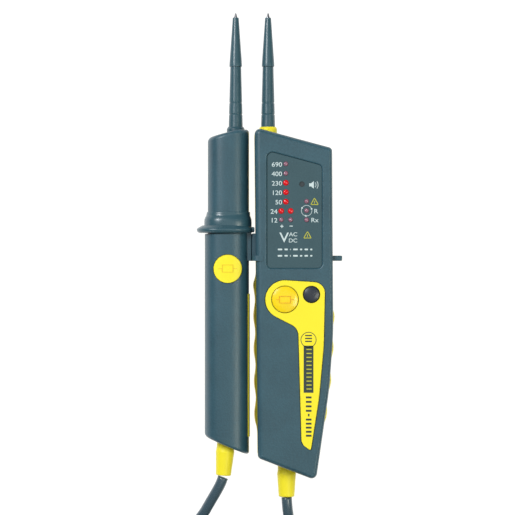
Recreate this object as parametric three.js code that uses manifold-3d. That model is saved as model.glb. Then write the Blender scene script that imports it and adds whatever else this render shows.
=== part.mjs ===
// A two-pole voltage tester: a wide main unit with a light-chain display, and a slim probe handle that
// docks beside it on a rail, each with a capped metal probe, joined by one flexible lead.
// The tester lies on its back. +Z comes out of its front face, +Y runs towards the probe tips and
// +X to the right as its front is read. Lengths are millimetres.
import * as THREE from "three";
import { mergeVertices } from "three/addons/utils/BufferGeometryUtils.js";
import Module from "manifold-3d";

const wasm = await Module();
wasm.setup();

// ---------------------------------------------------------------- driving dimensions
const gap = 0.3; // between pieces that touch
const running = 0.35; // round pieces that slide or turn
const wall = 2.2; // housing walls

// Main unit
const mainWidth = 45.6;
const mainLength = 206; // top left corner to bottom right corner
const bodyDepth = 35; // back to front
const mainLeft = -10.2;
const mainTop = 74.5; // height of the top left corner
const mainParting = 15; // where back and front shells meet
const topSlope = 0.269; // how far each top edge drops away from the middle of the tester
const mainTailSlope = 0.387;
const tailInset = 9.8; // right side, drawn in at the bottom
const waistInset = 2;
const shoulderProud = 0.3;
const leftTaper = 1.9;
const edgeRound = 2;
const backShift = 0.2; // the back shell stands this far to the left of the front one
const backInset = 0.3; // and ends this far inside it
const gripPitch = 19.3; // finger waves on the yellow back shell
const gripTop = -36; // first wave crest on the right side

// Probe handle
const tipPitch = 19; // between the two probe tips
const probeAxisHeight = 18;
const mainTipX = -2.3;
const tipTop = 142.2;
const handleX = -25.6; // axis of the upper handle
const handleShift = -0.9; // the lower handle's axis beside the upper one's
const handleTop = 71.9; // top face on the upper axis
const handleBottom = -111.8; // bottom face on the lower axis
const handleParting = 13;
const upperHalf = { width: 12.1, depth: 12.5 };
const lowerHalf = { width: 13, depth: 13.5 };
const handleStep = 12.6; // where the lower handle begins
const handleTailSlope = 0.4245;
const roundness = 2.6; // exponent of the handle's section, 2 being an ellipse

// Probes
const rodRadius = 1;
const sleeveRadius = { top: 3.1, bottom: 4.03 };
const sleeveTop = 110.6;
const sleeveFoot = 61;
const grooveDepth = 0.2;
const collarTop = 75.2;
const collarWall = 0.8;
const capTop = 139.5;
const capRadius = { top: 1.6, bottom: 3.55 };

// Guards and dock
const guardTop = -0.1; // main unit's finger guard
const guardThickness = 3.4;
const guardReach = 5.2; // beyond the right side
const flangeThickness = 4.3; // probe handle's finger guard
const flangeHalf = { width: 16.7, depth: 16.5 };
const bellHalf = { width: 13.9, depth: 14.3 };
const bellHeight = 8;
const railReach = 2.3; // dock rail, beyond the main unit's left side
const railLow = 15.7;
const railHigh = 25.2;
const tongueWidth = 3.8;
const tongueHeadWidth = 7.2;
const tongueThickness = 1.2;
const undockTravel = 18; // how far the handle slides up to come off the rail

// Front of the main unit
const recessDepth = 1.9;
const recessFloor = 1.8; // wall left behind the display recess
const panelThickness = 0.5;
const ledRadius = 1.5;
const ledPitch = 5.5;
const inlayDepth = 1.2;
const inlayProud = 0.3;
const loadButton = { x: 7.5, y: -25.9, radius: 7.65, crown: 1.1, travel: 1.2 };
const buttonSpacing = 3.05; // between the two caps
const torchButton = { y: -23, radius: 4.7, crown: 0.8, travel: 0.8 };
torchButton.x = loadButton.x + loadButton.radius + buttonSpacing + torchButton.radius;
const probeButton = { x: -25.9, y: -8.1, radius: 8.2, proud: 0.6, travel: 1.2 };
const buttonWall = 1.2;
const flangeLip = 1.3; // retaining rim of a button
const switchHeight = 4;
const buzzer = { x: 17.4, y: 41.2, radius: 6, height: 4.6, hole: 1.6 };

// Inside
const boardThickness = 1.6;
const boardDrop = 9.4; // board's upper face below the front
const screwRadius = 1.3;
const screwHead = 2.7;
const screwHeadHeight = 1.7;
const bossWall = 1.9;
const batteryRadius = 5.25;
const batteryLength = 43.5;
const contactRoom = 6; // at the two ends of the cells together
const tubWall = 1.4;
const coverThickness = 1.85;
const coverTongue = 9;
const tongueHalf = 5;
const lockRadius = 3.2;
const lockShank = 1.7;
const motorRadius = 3.5;
const motorLength = 14;
const motorShaft = 0.75;
const weightRadius = 2.8;

// Strain reliefs, and the lead between them
const reliefHeight = 15; // main unit's
const mainRelief = { x: 8.6, end: -142.3, top: 5.55, bottom: 4.6 };
const probeRelief = { x: -27.3, end: -129.6, top: 5.45, bottom: 4.4, tilt: -0.07 };
const neckInset = 0.4; // where a relief passes through its wall
const leadRadius = 3.1;
const leadPitch = 6.3; // between neighbouring turns of the coil
const coil = { x: -19, y: -203, radius: 37, rows: 2, lift: 0.9 };
const tie = { width: 8, thickness: 0.5, bulge: 0.4 };

// ---------------------------------------------------------------- colours
const finishes = {
  slate: { color: 0x4a6069, roughness: 0.6, metalness: 0 },
  yellow: { color: 0xf6e42c, roughness: 0.5, metalness: 0 },
  amber: { color: 0xffc61e, roughness: 0.3, metalness: 0 },
  torch: { color: 0x414b58, roughness: 0.35, metalness: 0 },
  panel: { color: 0x445a62, roughness: 0.5, metalness: 0 },
  litLamp: { color: 0xf0141e, roughness: 0.2, metalness: 0 },
  clearLamp: { color: 0x966478, roughness: 0.2, metalness: 0 },
  lens: { color: 0xe8eef2, roughness: 0.1, metalness: 0 },
  board: { color: 0x1f5b3a, roughness: 0.5, metalness: 0 },
  steel: { color: 0xb8bcc0, roughness: 0.3, metalness: 1 },
  brass: { color: 0xc9a24e, roughness: 0.35, metalness: 1 },
  black: { color: 0x1c1e20, roughness: 0.5, metalness: 0 },
  ceramic: { color: 0xe9e6dc, roughness: 0.7, metalness: 0 },
  rubber: { color: 0x26292b, roughness: 0.8, metalness: 0 },
  cell: { color: 0x2e3d6b, roughness: 0.35, metalness: 0.2 },
  lead: { color: 0x3c4c54, roughness: 0.4, metalness: 0 },
};

// ---------------------------------------------------------------- solids from three.js geometry
function solid(geometry) {
  const bare = geometry.clone();
  bare.deleteAttribute("normal");
  bare.deleteAttribute("uv");
  const merged = mergeVertices(bare);
  const index = merged.index.array;
  const corners = [];
  for (let i = 0; i < index.length; i += 3) {
    const [a, b, c] = [index[i], index[i + 1], index[i + 2]];
    if (a !== b && b !== c && c !== a) corners.push(a, b, c);
  }
  return new wasm.Manifold(
    new wasm.Mesh({
      numProp: 3,
      vertProperties: new Float32Array(merged.attributes.position.array),
      triVerts: new Uint32Array(corners),
    }),
  );
}

function union(...solids) {
  return solids.reduce((sum, next) => sum.add(next));
}

function minus(body, ...cuts) {
  return cuts.reduce((rest, cut) => rest.subtract(cut), body);
}

// A box between two opposite corners
function block(x0, x1, y0, y1, z0, z1) {
  const geometry = new THREE.BoxGeometry(x1 - x0, y1 - y0, z1 - z0);
  geometry.translate((x0 + x1) / 2, (y0 + y1) / 2, (z0 + z1) / 2);
  return solid(geometry);
}

const far = 400;
const below = (z) => block(-far, far, -far, far, -far, z);
const above = (z) => block(-far, far, -far, far, z, far);

// An upright cylinder between two heights
function post(x, y, radius, low, high, sides = 20) {
  const geometry = new THREE.CylinderGeometry(radius, radius, high - low, sides);
  geometry.rotateX(Math.PI / 2);
  geometry.translate(x, y, (low + high) / 2);
  return solid(geometry);
}

// A profile of [radius, along] points turned about a line along +Y, swung by tilt about its point pivotY
function turnedAlong(profile, x, z, sides = 20, tilt = 0, pivotY = 0) {
  const points = profile.map(([radius, along]) => new THREE.Vector2(radius, along - pivotY));
  const geometry = new THREE.LatheGeometry(points, sides);
  geometry.rotateZ(tilt);
  geometry.translate(x, pivotY, z);
  return solid(geometry);
}

// A plain hole along +Y
function bore(x, z, radius, low, high, sides = 20) {
  return turnedAlong([[0, low], [radius, low], [radius, high], [0, high]], x, z, sides);
}

// A profile of [radius, height] points turned about a line along +Z
function turnedUp(profile, x, y, sides = 20) {
  const points = profile.map(([radius, height]) => new THREE.Vector2(radius, height));
  const geometry = new THREE.LatheGeometry(points, sides);
  geometry.rotateX(Math.PI / 2);
  geometry.translate(x, y, 0);
  return solid(geometry);
}

// Corners [x, y, radius], counter-clockwise, moved inwards by inset and rounded with arcs
function outline(corners, inset = 0) {
  const count = corners.length;
  const at = (i) => corners[(i + count) % count];
  const direction = (i) => {
    const [x0, y0] = at(i);
    const [x1, y1] = at(i + 1);
    return new THREE.Vector2(x1 - x0, y1 - y0).normalize();
  };
  const points = [];
  for (let i = 0; i < count; i++) {
    const before = direction(i - 1);
    const after = direction(i);
    const turn = Math.atan2(before.cross(after), before.dot(after));
    const inwards = new THREE.Vector2(-before.y - after.y, before.x + after.x).normalize();
    const corner = new THREE.Vector2(at(i)[0], at(i)[1]);
    corner.addScaledVector(inwards, inset / Math.cos(turn / 2));
    const radius = Math.max(at(i)[2] - inset * Math.sign(turn), 0.2);
    const centre = corner.clone().addScaledVector(inwards, (Math.sign(turn) * radius) / Math.cos(turn / 2));
    const steps = Math.max(1, Math.ceil(Math.abs(turn) / (Math.PI / 10)));
    const start = Math.atan2(-before.x * Math.sign(turn), before.y * Math.sign(turn));
    for (let k = 0; k <= steps; k++) {
      const angle = start + (turn * k) / steps;
      const arm = new THREE.Vector2(radius * Math.cos(angle), radius * Math.sin(angle));
      points.push(arm.add(centre));
    }
  }
  return new THREE.Shape(points);
}

// A shape carried up from one height to another, its ends rounded by bevel
function prism(shape, low, high, bevel = 0) {
  const geometry = new THREE.ExtrudeGeometry(shape, {
    depth: high - low - 2 * bevel,
    bevelEnabled: bevel > 0,
    bevelThickness: bevel,
    bevelSize: bevel,
    bevelOffset: -bevel,
    bevelSegments: 2,
  });
  geometry.translate(0, 0, low + bevel);
  return solid(geometry);
}

// A round-sided column along Y. Each station is { y, x, width, depth, lean }: half sizes of its section,
// and how far its plane climbs per millimetre of X.
function column(stations, sides = 28) {
  const geometry = new THREE.CylinderGeometry(1, 1, 1, sides, stations.length - 1);
  const position = geometry.attributes.position;
  for (let i = 0; i < position.count; i++) {
    const level = (position.getY(i) + 0.5) * (stations.length - 1);
    const station = stations[Math.round(level)];
    const sine = position.getX(i);
    const cosine = position.getZ(i);
    const swell = (value) => Math.sign(value) * Math.abs(value) ** (2 / roundness);
    const across = Math.hypot(sine, cosine) < 1e-6 ? 0 : station.width * swell(sine);
    const up = Math.hypot(sine, cosine) < 1e-6 ? 0 : station.depth * swell(cosine);
    position.setXYZ(i, station.x + across, station.y + (station.lean ?? 0) * across, probeAxisHeight + up);
  }
  return solid(geometry);
}

// A round tube through points, from its first to its last
function tube(points, radius, steps, sides = 8) {
  const path = new THREE.CatmullRomCurve3(points.map((point) => new THREE.Vector3(...point)));
  const section = new THREE.Shape(
    Array.from({ length: sides }, (_, i) => {
      const angle = (2 * Math.PI * i) / sides;
      return new THREE.Vector2(radius * Math.cos(angle), radius * Math.sin(angle));
    }),
  );
  return solid(new THREE.ExtrudeGeometry(section, { steps, extrudePath: path, bevelEnabled: false }));
}

// ---------------------------------------------------------------- the assembly
const tester = new THREE.Group();
const object = new THREE.Group();
const leadGroup = new THREE.Group();
tester.add(object, leadGroup);

function addPiece(name, body, finish, group = object) {
  const made = body.getMesh();
  const geometry = new THREE.BufferGeometry();
  const place = new Float32Array(made.numVert * 3);
  for (let i = 0; i < made.numVert; i++) {
    place.set(made.vertProperties.subarray(i * made.numProp, i * made.numProp + 3), i * 3);
  }
  geometry.setAttribute("position", new THREE.BufferAttribute(place, 3));
  geometry.setIndex(new THREE.BufferAttribute(new Uint32Array(made.triVerts), 1));
  geometry.computeVertexNormals();
  const mesh = new THREE.Mesh(geometry, new THREE.MeshStandardMaterial(finishes[finish]));
  mesh.name = name;
  group.add(mesh);
}

// ---------------------------------------------------------------- main unit: outlines
const mainRight = mainLeft + mainWidth;
const mainBottomRight = mainTop - mainLength;
const tailX = mainRight - tailInset;
const bottomAt = (x) => mainBottomRight + (tailX - x) * mainTailSlope;
const topAt = (x) => mainTop - (x - mainLeft) * topSlope;
const leftAt = (y) => mainLeft + (leftTaper * (mainTop - y)) / (mainTop - bottomAt(mainLeft));
const shoulderY = mainTop - 0.585 * mainLength;
const waistY = mainTop - 0.74 * mainLength;
const shoulderX = mainRight + shoulderProud;
const waistX = mainRight - waistInset;
const topRightX = mainRight - 0.4;
const frontCorners = [
  [leftAt(bottomAt(mainLeft)), bottomAt(mainLeft + leftTaper), 2.8],
  [tailX, mainBottomRight, 3.2],
  [waistX, waistY, 200],
  [shoulderX, shoulderY, 200],
  [topRightX, topAt(topRightX), 2.4],
  [mainLeft, mainTop, 3.2],
];
const backCorners = frontCorners.map(([x, y, radius], i) => {
  return [x - backShift, i < 2 ? y + backInset : y - backInset, radius];
});

// Right side of the front shell at a height, between the corners named above
function rightAt(y) {
  if (y > shoulderY) return shoulderX;
  if (y > waistY) return THREE.MathUtils.mapLinear(y, shoulderY, waistY, shoulderX, waistX);
  return THREE.MathUtils.mapLinear(y, waistY, mainBottomRight, waistX, tailX);
}

const ceiling = bodyDepth - recessDepth - recessFloor;
const boardTop = bodyDepth - boardDrop;
const tubFloor = coverThickness + gap + 0.25;
const tubCeiling = tubFloor + 2 * batteryRadius + 2 * gap;
const tub = {
  x: leftAt(0) + mainWidth * 0.46,
  half: 2 * batteryRadius + 3 * gap,
  high: loadButton.y - 24,
};
tub.low = tub.high - batteryLength - contactRoom;

const screws = [
  { x: mainRight - 6.4, y: 40 },
  { x: mainLeft + 5.2, y: 5 },
  { x: tub.x + 10.5, y: tub.low - 10 },
];

// ---------------------------------------------------------------- main unit: back shell
// The wavy finger grip on one side: a strip whose outer edge stands proud of the side by a cosine wave
function gripStrip(sideAt, side, lowest, swell, amplitude, crest) {
  const start = crest + gripPitch * (side < 0 ? 1.35 : 0.45);
  const end = crest - gripPitch * 3.6;
  const steps = Math.round((start - end) / (gripPitch / 7));
  const outer = [];
  for (let i = 0; i <= steps; i++) {
    const y = start + ((end - start) * i) / steps;
    const fade = Math.min(1, i / 3, (steps - i) / 3);
    const wave = swell + amplitude * Math.cos((2 * Math.PI * (y - crest)) / gripPitch);
    outer.push(new THREE.Vector2(sideAt(y) + side * (lowest + fade * wave), y));
  }
  const inner = [end, start].map((y) => new THREE.Vector2(sideAt(y) - side * 1.6, y));
  const points = [...outer, ...inner];
  return prism(new THREE.Shape(side < 0 ? points : points.reverse()), 1.4, mainParting - gap / 2);
}

function boss(spot, outerRadius, low, high) {
  return post(spot.x, spot.y, outerRadius, low, high, 16);
}

const bossRadius = screwRadius + gap + bossWall;

function makeBackShell() {
  const outer = prism(outline(backCorners), 0, mainParting + 6, 1.6);
  const hollow = prism(outline(backCorners, wall), wall, mainParting + 8);
  const grips = [
    gripStrip(leftAt, -1, 0.2, 1.2, 0.5, gripTop),
    gripStrip(rightAt, 1, -0.2, 0.8, 0.7, gripTop),
  ];
  const tubOuter = block(
    tub.x - tub.half - tubWall,
    tub.x + tub.half + tubWall,
    tub.low - tubWall,
    tub.high + tubWall,
    wall / 2,
    tubCeiling + tubWall,
  );
  const tubInner = block(tub.x - tub.half, tub.x + tub.half, tub.low, tub.high, -1, tubCeiling);
  const lockBoss = post(tub.x, tub.low - coverTongue / 2 - tubWall, lockShank + gap + 1.6, wall / 2, 8, 16);
  const tongueSlot = block(
    tub.x - tongueHalf,
    tub.x + tongueHalf,
    tub.low - coverTongue - gap,
    tub.low + 1,
    -1,
    tubFloor,
  );
  const lockHole = post(tub.x, tub.low - coverTongue / 2 - tubWall, lockShank + running, -1, 9, 16);
  const saddle = minus(
    block(motor.x - 3, motor.x + 3, motor.y - 4, motor.y + 4, tubCeiling, motor.z - 1),
    bore(motor.x, motor.z, motorRadius + gap, motor.y - 20, motor.y + 20),
  );
  const bosses = screws.map((s) => boss(s, bossRadius, wall / 2, mainParting - gap / 2));
  let shell = minus(union(outer, ...grips), hollow, above(mainParting - gap / 2));
  shell = union(shell, tubOuter, saddle, lockBoss, ...bosses);
  const headRoom = screwHeadHeight + 3 * gap;
  return minus(
    shell,
    tubInner,
    tongueSlot,
    lockHole,
    mainReliefHole(),
    collarHole(mainTipX),
    ...screws.map((s) => post(s.x, s.y, screwRadius + gap, -1, mainParting, 12)),
    ...screws.map((s) => post(s.x, s.y, screwHead + gap, -1, headRoom, 16)),
  );
}

// ---------------------------------------------------------------- main unit: front shell
const recessLeft = mainLeft + 7.3;
const recessRight = mainRight - 6.4;
const recessTopAt = (x) => topAt(x) - 11.9;
const recessCorners = [
  [recessLeft, -7.6, 2.4],
  [recessRight, -7.6, 2.5],
  [recessRight, recessTopAt(recessRight), 2.8],
  [recessLeft, recessTopAt(recessLeft), 3],
];

const ledColumn = recessLeft + 10.9;
const ledFoot = 31;
const ledPlaces = {
  led_690: [ledColumn, ledFoot + 4 * ledPitch],
  led_400: [ledColumn, ledFoot + 3 * ledPitch],
  led_230: [ledColumn, ledFoot + 2 * ledPitch],
  led_120: [ledColumn, ledFoot + ledPitch],
  led_50: [ledColumn, ledFoot],
  led_24_plus: [ledColumn - 2.7, ledFoot - 5.4],
  led_24_minus: [ledColumn + 2.8, ledFoot - 5.4],
  led_12_plus: [ledColumn - 2.7, ledFoot - 10.5],
  led_12_minus: [ledColumn + 2.8, ledFoot - 10.5],
  led_phase: [ledColumn + 12.1, ledFoot + 0.2],
  led_rotation: [ledColumn + 12.1, ledFoot - 5.2],
  led_continuity: [ledColumn + 12.1, ledFoot - 10.6],
};
const litLamps = ["led_230", "led_120", "led_50", "led_24_plus", "led_24_minus"];

// The yellow inlay: a round lobe about the load button, and a long tail that narrows to the bottom
const lobe = loadButton.radius + 3.95;
const inlayRight = mainRight - 5.2;
const inlayCorners = [
  [loadButton.x + 9.2, mainBottomRight + 23.6, 1],
  [loadButton.x + 15.4, mainBottomRight + 16.8, 1.4],
  [loadButton.x + 19.4, mainBottomRight + 46, 90],
  [inlayRight, loadButton.y - 24, 60],
  [inlayRight, loadButton.y + 9.3, 6],
  [loadButton.x - 1, loadButton.y + lobe - 0.1, 3],
  [loadButton.x - 1.4, loadButton.y - lobe + 1, 0.5],
  [loadButton.x + 7.7, loadButton.y - lobe - 4.4, 7],
];

function inlaySolid(low, high, inset) {
  const tail = prism(outline(inlayCorners, inset), low, high);
  return union(tail, post(loadButton.x, loadButton.y, lobe - inset, low, high, 40));
}

function lampHoles() {
  const high = bodyDepth + 1;
  return Object.values(ledPlaces).map(([x, y]) => post(x, y, ledRadius + gap, mainParting, high, 10));
}

function buttonHole(button, sides) {
  return post(button.x, button.y, button.radius + running, mainParting, bodyDepth + 2, sides);
}

function makeFrontShell() {
  const outer = prism(outline(frontCorners), mainParting - 6, bodyDepth, edgeRound);
  const hollow = prism(outline(frontCorners, wall), mainParting - 8, ceiling);
  const reach = mainRight + shoulderProud + guardReach;
  const guardLow = guardTop - guardThickness;
  const tab = prism(
    outline([
      [mainRight - 1, guardLow, 1],
      [reach, guardLow, 1.4],
      [reach, guardTop, 1],
      [mainRight - 1, guardTop, 1],
    ]),
    mainParting + 1,
    bodyDepth - 4,
    0.7,
  );
  const wrap = prism(outline(frontCorners, -railReach), mainParting - 6, bodyDepth + 0.4, edgeRound + 0.4)
    .intersect(block(-far, mainLeft + 5.1, guardLow, guardTop - 0.3, railLow, far));
  const railX = leftAt(0) - railReach;
  const rail = block(railX, mainLeft + 1.6, guardLow, handleStep, railLow, railHigh);
  const middle = (railLow + railHigh) / 2;
  const stem = block(
    railX - 1.7,
    railX + 0.2,
    guardLow,
    handleStep - gap,
    middle - tongueWidth / 2,
    middle + tongueWidth / 2,
  );
  const head = block(
    railX - 1.6 - tongueThickness,
    railX - 1.6,
    guardLow,
    handleStep - gap,
    middle - tongueHeadWidth / 2,
    middle + tongueHeadWidth / 2,
  );
  const shoulder = boardTop + gap;
  const bosses = screws.flatMap((s) => [
    boss(s, bossRadius, s.y > tub.high ? shoulder : mainParting + gap / 2, ceiling + 0.5),
    boss(s, bossRadius - 0.6, mainParting + gap / 2, ceiling),
  ]);
  const panelCut = prism(outline(recessCorners), bodyDepth - recessDepth, bodyDepth + 5);
  const inlayCut = inlaySolid(bodyDepth - inlayDepth, bodyDepth + 5, -gap);
  const torch = buttonHole(torchButton, 24);
  const load = buttonHole(loadButton, 32);
  const sound = post(buzzer.x, buzzer.y, buzzer.hole, ceiling - 1, bodyDepth, 12);
  const pilots = screws.map((s) => post(s.x, s.y, screwRadius + gap, mainParting - 1, boardTop, 12));
  let shell = minus(union(outer, wrap, rail, tab), hollow, below(mainParting + gap / 2));
  shell = union(shell, stem, head, ...bosses);
  const frontHoles = [panelCut, inlayCut, torch, load, sound, ...lampHoles(), ...pilots];
  return minus(shell, ...frontHoles, mainReliefHole(), torchLampHole(), collarHole(mainTipX));
}

// ---------------------------------------------------------------- holes shared by both shells
const collarRadius = (top) => sleeveRadius.bottom + gap + top;

function collarHole(x) {
  const radius = collarRadius(collarWall) + gap;
  return bore(x, probeAxisHeight, radius, sleeveFoot - 1, collarTop + 20, 24);
}

function mainReliefHole() {
  const radius = mainRelief.top - neckInset + gap;
  return bore(mainRelief.x, reliefHeight, radius, mainBottomRight - 10, bottomAt(mainRelief.x) + 9);
}

const torchLamp = { x: mainTipX + 16, z: probeAxisHeight + 5, radius: 2.5, length: 8 };
torchLamp.top = topAt(torchLamp.x + torchLamp.radius) - 0.2;

function torchLampHole() {
  return bore(torchLamp.x, torchLamp.z, torchLamp.radius + gap, torchLamp.top - 12, torchLamp.top + 12, 16);
}

// ---------------------------------------------------------------- main unit: inside
const motor = { x: tub.x + 7, y: tub.high - 14, z: boardTop - 4 };

function boardSolid() {
  const full = prism(outline(frontCorners, wall + 1), boardTop - boardThickness, boardTop);
  const room = block(-far, far, loadButton.y - 20, sleeveFoot - 6, 0, bodyDepth);
  return minus(full.intersect(room), ...screws.map((s) => boss(s, bossRadius - 0.6 + gap, 0, bodyDepth)));
}

function ledSolid([x, y]) {
  const top = bodyDepth - 0.1;
  return turnedUp(
    [
      [0, boardTop + gap],
      [ledRadius + 0.4, boardTop + gap],
      [ledRadius + 0.4, boardTop + 1.2],
      [ledRadius, boardTop + 1.2],
      [ledRadius, top - 1.1],
      [ledRadius * 0.7, top - 0.35],
      [0, top],
    ],
    x,
    y,
    10,
  );
}

// A small push switch: a square body with a round plunger
function switchSolid(x, y, low, half) {
  const body = block(x - half, x + half, y - half, y + half, low, low + switchHeight);
  return union(body, post(x, y, 1.6, low + switchHeight - 0.5, low + switchHeight + 0.5, 12));
}

// A capped button: a round cap with a skirt, a retaining rim and a stem over its switch
function buttonSolid(button, top, rimHigh, switchTop) {
  const inner = button.radius - buttonWall;
  const stemLow = switchTop + button.travel;
  const rimLow = rimHigh - 1.2;
  const roof = top - button.crown - 1.4;
  return turnedUp(
    [
      [0, stemLow],
      [2, stemLow],
      [2, roof],
      [inner, roof],
      [inner, rimLow],
      [button.radius + flangeLip, rimLow],
      [button.radius + flangeLip, rimHigh],
      [button.radius, rimHigh],
      [button.radius, top - button.crown],
      [button.radius * 0.72, top - button.crown * 0.42],
      [button.radius * 0.36, top - button.crown * 0.1],
      [0, top],
    ],
    button.x,
    button.y,
    22,
  );
}

function cellSolid(x, up) {
  const tip = 1;
  const ends = [tub.low + contactRoom / 2, tub.low + contactRoom / 2 + batteryLength];
  const z = tubFloor + batteryRadius;
  const body = up
    ? [
        [0, ends[0]],
        [batteryRadius, ends[0]],
        [batteryRadius, ends[1] - tip],
        [1.9, ends[1] - tip],
        [1.9, ends[1]],
        [0, ends[1]],
      ]
    : [
        [0, ends[0]],
        [1.9, ends[0]],
        [1.9, ends[0] + tip],
        [batteryRadius, ends[0] + tip],
        [batteryRadius, ends[1]],
        [0, ends[1]],
      ];
  return turnedAlong(body, x, z, 16);
}

const cellZ = tubFloor + batteryRadius;
const cellX = [tub.x - batteryRadius - gap / 2, tub.x + batteryRadius + gap / 2];

// A sheet contact against one end of the cells, and on it a pad or a coil spring
function contactPlate(x0, x1, y, thickness) {
  return block(x0, x1, y, y + thickness, cellZ - 3.6, cellZ + 3.6);
}

function contactSpring(x, from, to) {
  const turns = 2.5;
  const steps = 18;
  const points = [];
  for (let i = 0; i <= steps; i++) {
    const angle = (2 * Math.PI * turns * i) / steps;
    const radius = THREE.MathUtils.mapLinear(i, 0, steps, 3, 1.8);
    const along = THREE.MathUtils.mapLinear(i, 0, steps, from, to);
    points.push([x + radius * Math.cos(angle), along, cellZ + radius * Math.sin(angle)]);
  }
  return tube(points, 0.3, steps * 2 - 4, 5);
}

function addBatteryPieces() {
  addPiece("battery_1", cellSolid(cellX[0], true), "cell");
  addPiece("battery_2", cellSolid(cellX[1], false), "cell");
  const top = tub.high - gap;
  const bottom = tub.low + gap;
  const cellTop = tub.low + contactRoom / 2 + batteryLength;
  const cellBottom = tub.low + contactRoom / 2;
  const plate = 0.4;
  const reach = batteryRadius - 1;
  addPiece(
    "battery_plate_contact",
    union(
      contactPlate(cellX[0] - reach, cellX[0] + reach, top - plate, plate),
      block(cellX[0] - 1.5, cellX[0] + 1.5, cellTop + gap, top - plate / 2, cellZ - 1.5, cellZ + 1.5),
    ),
    "steel",
  );
  addPiece(
    "battery_spring_contact",
    union(
      contactPlate(cellX[1] - reach, cellX[1] + reach, top - plate, plate),
      contactSpring(cellX[1], top - plate / 2, cellTop + gap + 0.4),
    ),
    "steel",
  );
  addPiece(
    "battery_bridge_contact",
    union(
      contactPlate(cellX[0] - reach, cellX[1] + reach, bottom, plate),
      contactSpring(cellX[0], bottom + plate / 2, cellBottom - gap - 0.4),
      block(cellX[1] - 1.5, cellX[1] + 1.5, bottom + plate / 2, cellBottom - gap, cellZ - 1.5, cellZ + 1.5),
    ),
    "steel",
  );
}

// The cover closes the cells' tub from behind and is held by a coin-slot lock on its tongue
function addBatteryCover() {
  const lockY = tub.low - coverTongue / 2 - tubWall;
  const low = 0.25;
  const high = low + coverThickness;
  const [left, right] = [tub.x - tub.half + running, tub.x + tub.half - running];
  const [tongueLeft, tongueRight] = [tub.x - tongueHalf + running, tub.x + tongueHalf - running];
  const plate = block(left, right, tub.low + running, tub.high - running, low, high);
  const tongue = block(tongueLeft, tongueRight, tub.low - coverTongue + gap, tub.low + 1, low, high);
  const headCut = post(tub.x, lockY, lockRadius + running, -1, low + 1.15, 20);
  const shankCut = post(tub.x, lockY, lockShank + running, -1, high + 1, 16);
  addPiece("battery_cover", minus(union(plate, tongue), headCut, shankCut), "yellow");
  const lock = union(
    post(tub.x, lockY, lockRadius, low, low + 0.85, 20),
    post(tub.x, lockY, lockShank, low + 0.4, 7.2, 16),
  );
  const slotHalf = lockRadius - 0.6;
  const slot = block(tub.x - slotHalf, tub.x + slotHalf, lockY - 0.6, lockY + 0.6, low - 1, low + 0.5);
  addPiece("cover_lock", minus(lock, slot), "black");
}

function screwSolid(x, y, headLow, shankTop) {
  const head = headLow + screwHeadHeight;
  const body = turnedUp(
    [
      [0, headLow],
      [screwHead, headLow],
      [screwHead, head],
      [screwRadius, head],
      [screwRadius, shankTop - 1],
      [0.4, shankTop],
      [0, shankTop],
    ],
    x,
    y,
    12,
  );
  const slotA = block(x - 1.7, x + 1.7, y - 0.35, y + 0.35, headLow - 1, headLow + 0.8);
  const slotB = block(x - 0.35, x + 0.35, y - 1.7, y + 1.7, headLow - 1, headLow + 0.8);
  return minus(body, slotA, slotB);
}

function addMotor() {
  const low = motor.y - motorLength / 2;
  addPiece(
    "vibration_motor",
    turnedAlong(
      [
        [0, low - 6],
        [motorShaft, low - 6],
        [motorShaft, low],
        [motorRadius, low],
        [motorRadius, low + motorLength],
        [0, low + motorLength],
      ],
      motor.x,
      motor.z,
      16,
    ),
    "steel",
  );
  const ring = turnedAlong(
    [
      [motorShaft + 0.1, low - 5.6],
      [weightRadius, low - 5.6],
      [weightRadius, low - 1],
      [motorShaft + 0.1, low - 1],
      [motorShaft + 0.1, low - 5.6],
    ],
    motor.x,
    motor.z,
    16,
  );
  const half = block(motor.x - 9, motor.x + 9, low - 9, low + 9, motor.z + 1.4, motor.z + 9);
  addPiece("eccentric_weight", minus(ring, half), "brass");
}

function addMainInside() {
  addPiece("main_circuit_board", boardSolid(), "board");
  for (const [name, place] of Object.entries(ledPlaces)) {
    addPiece(name, ledSolid(place), litLamps.includes(name) ? "litLamp" : "clearLamp");
  }
  const low = boardTop + gap;
  const buzzerTop = Math.min(low + buzzer.height, ceiling - gap);
  const drum = post(buzzer.x, buzzer.y, buzzer.radius, low, buzzerTop, 20);
  const port = post(buzzer.x, buzzer.y, 1, buzzerTop - 1, buzzerTop + 1, 10);
  addPiece("buzzer", minus(drum, port), "black");
  addPiece("load_switch", switchSolid(loadButton.x, loadButton.y, low, 3), "black");
  addPiece("torch_switch", switchSolid(torchButton.x, torchButton.y, low, 2.4), "black");
  const under = boardTop - boardThickness - gap;
  addPiece("load_resistor", block(mainLeft + 14, mainLeft + 36, 10, 18, under - 6.5, under), "ceramic");
  addPiece(
    "torch_lamp",
    turnedAlong(
      [
        [0, torchLamp.top - torchLamp.length],
        [torchLamp.radius, torchLamp.top - torchLamp.length],
        [torchLamp.radius, torchLamp.top - 2],
        [torchLamp.radius * 0.7, torchLamp.top - 0.6],
        [0, torchLamp.top],
      ],
      torchLamp.x,
      torchLamp.z,
      14,
    ),
    "lens",
  );
  addMotor();
}

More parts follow.
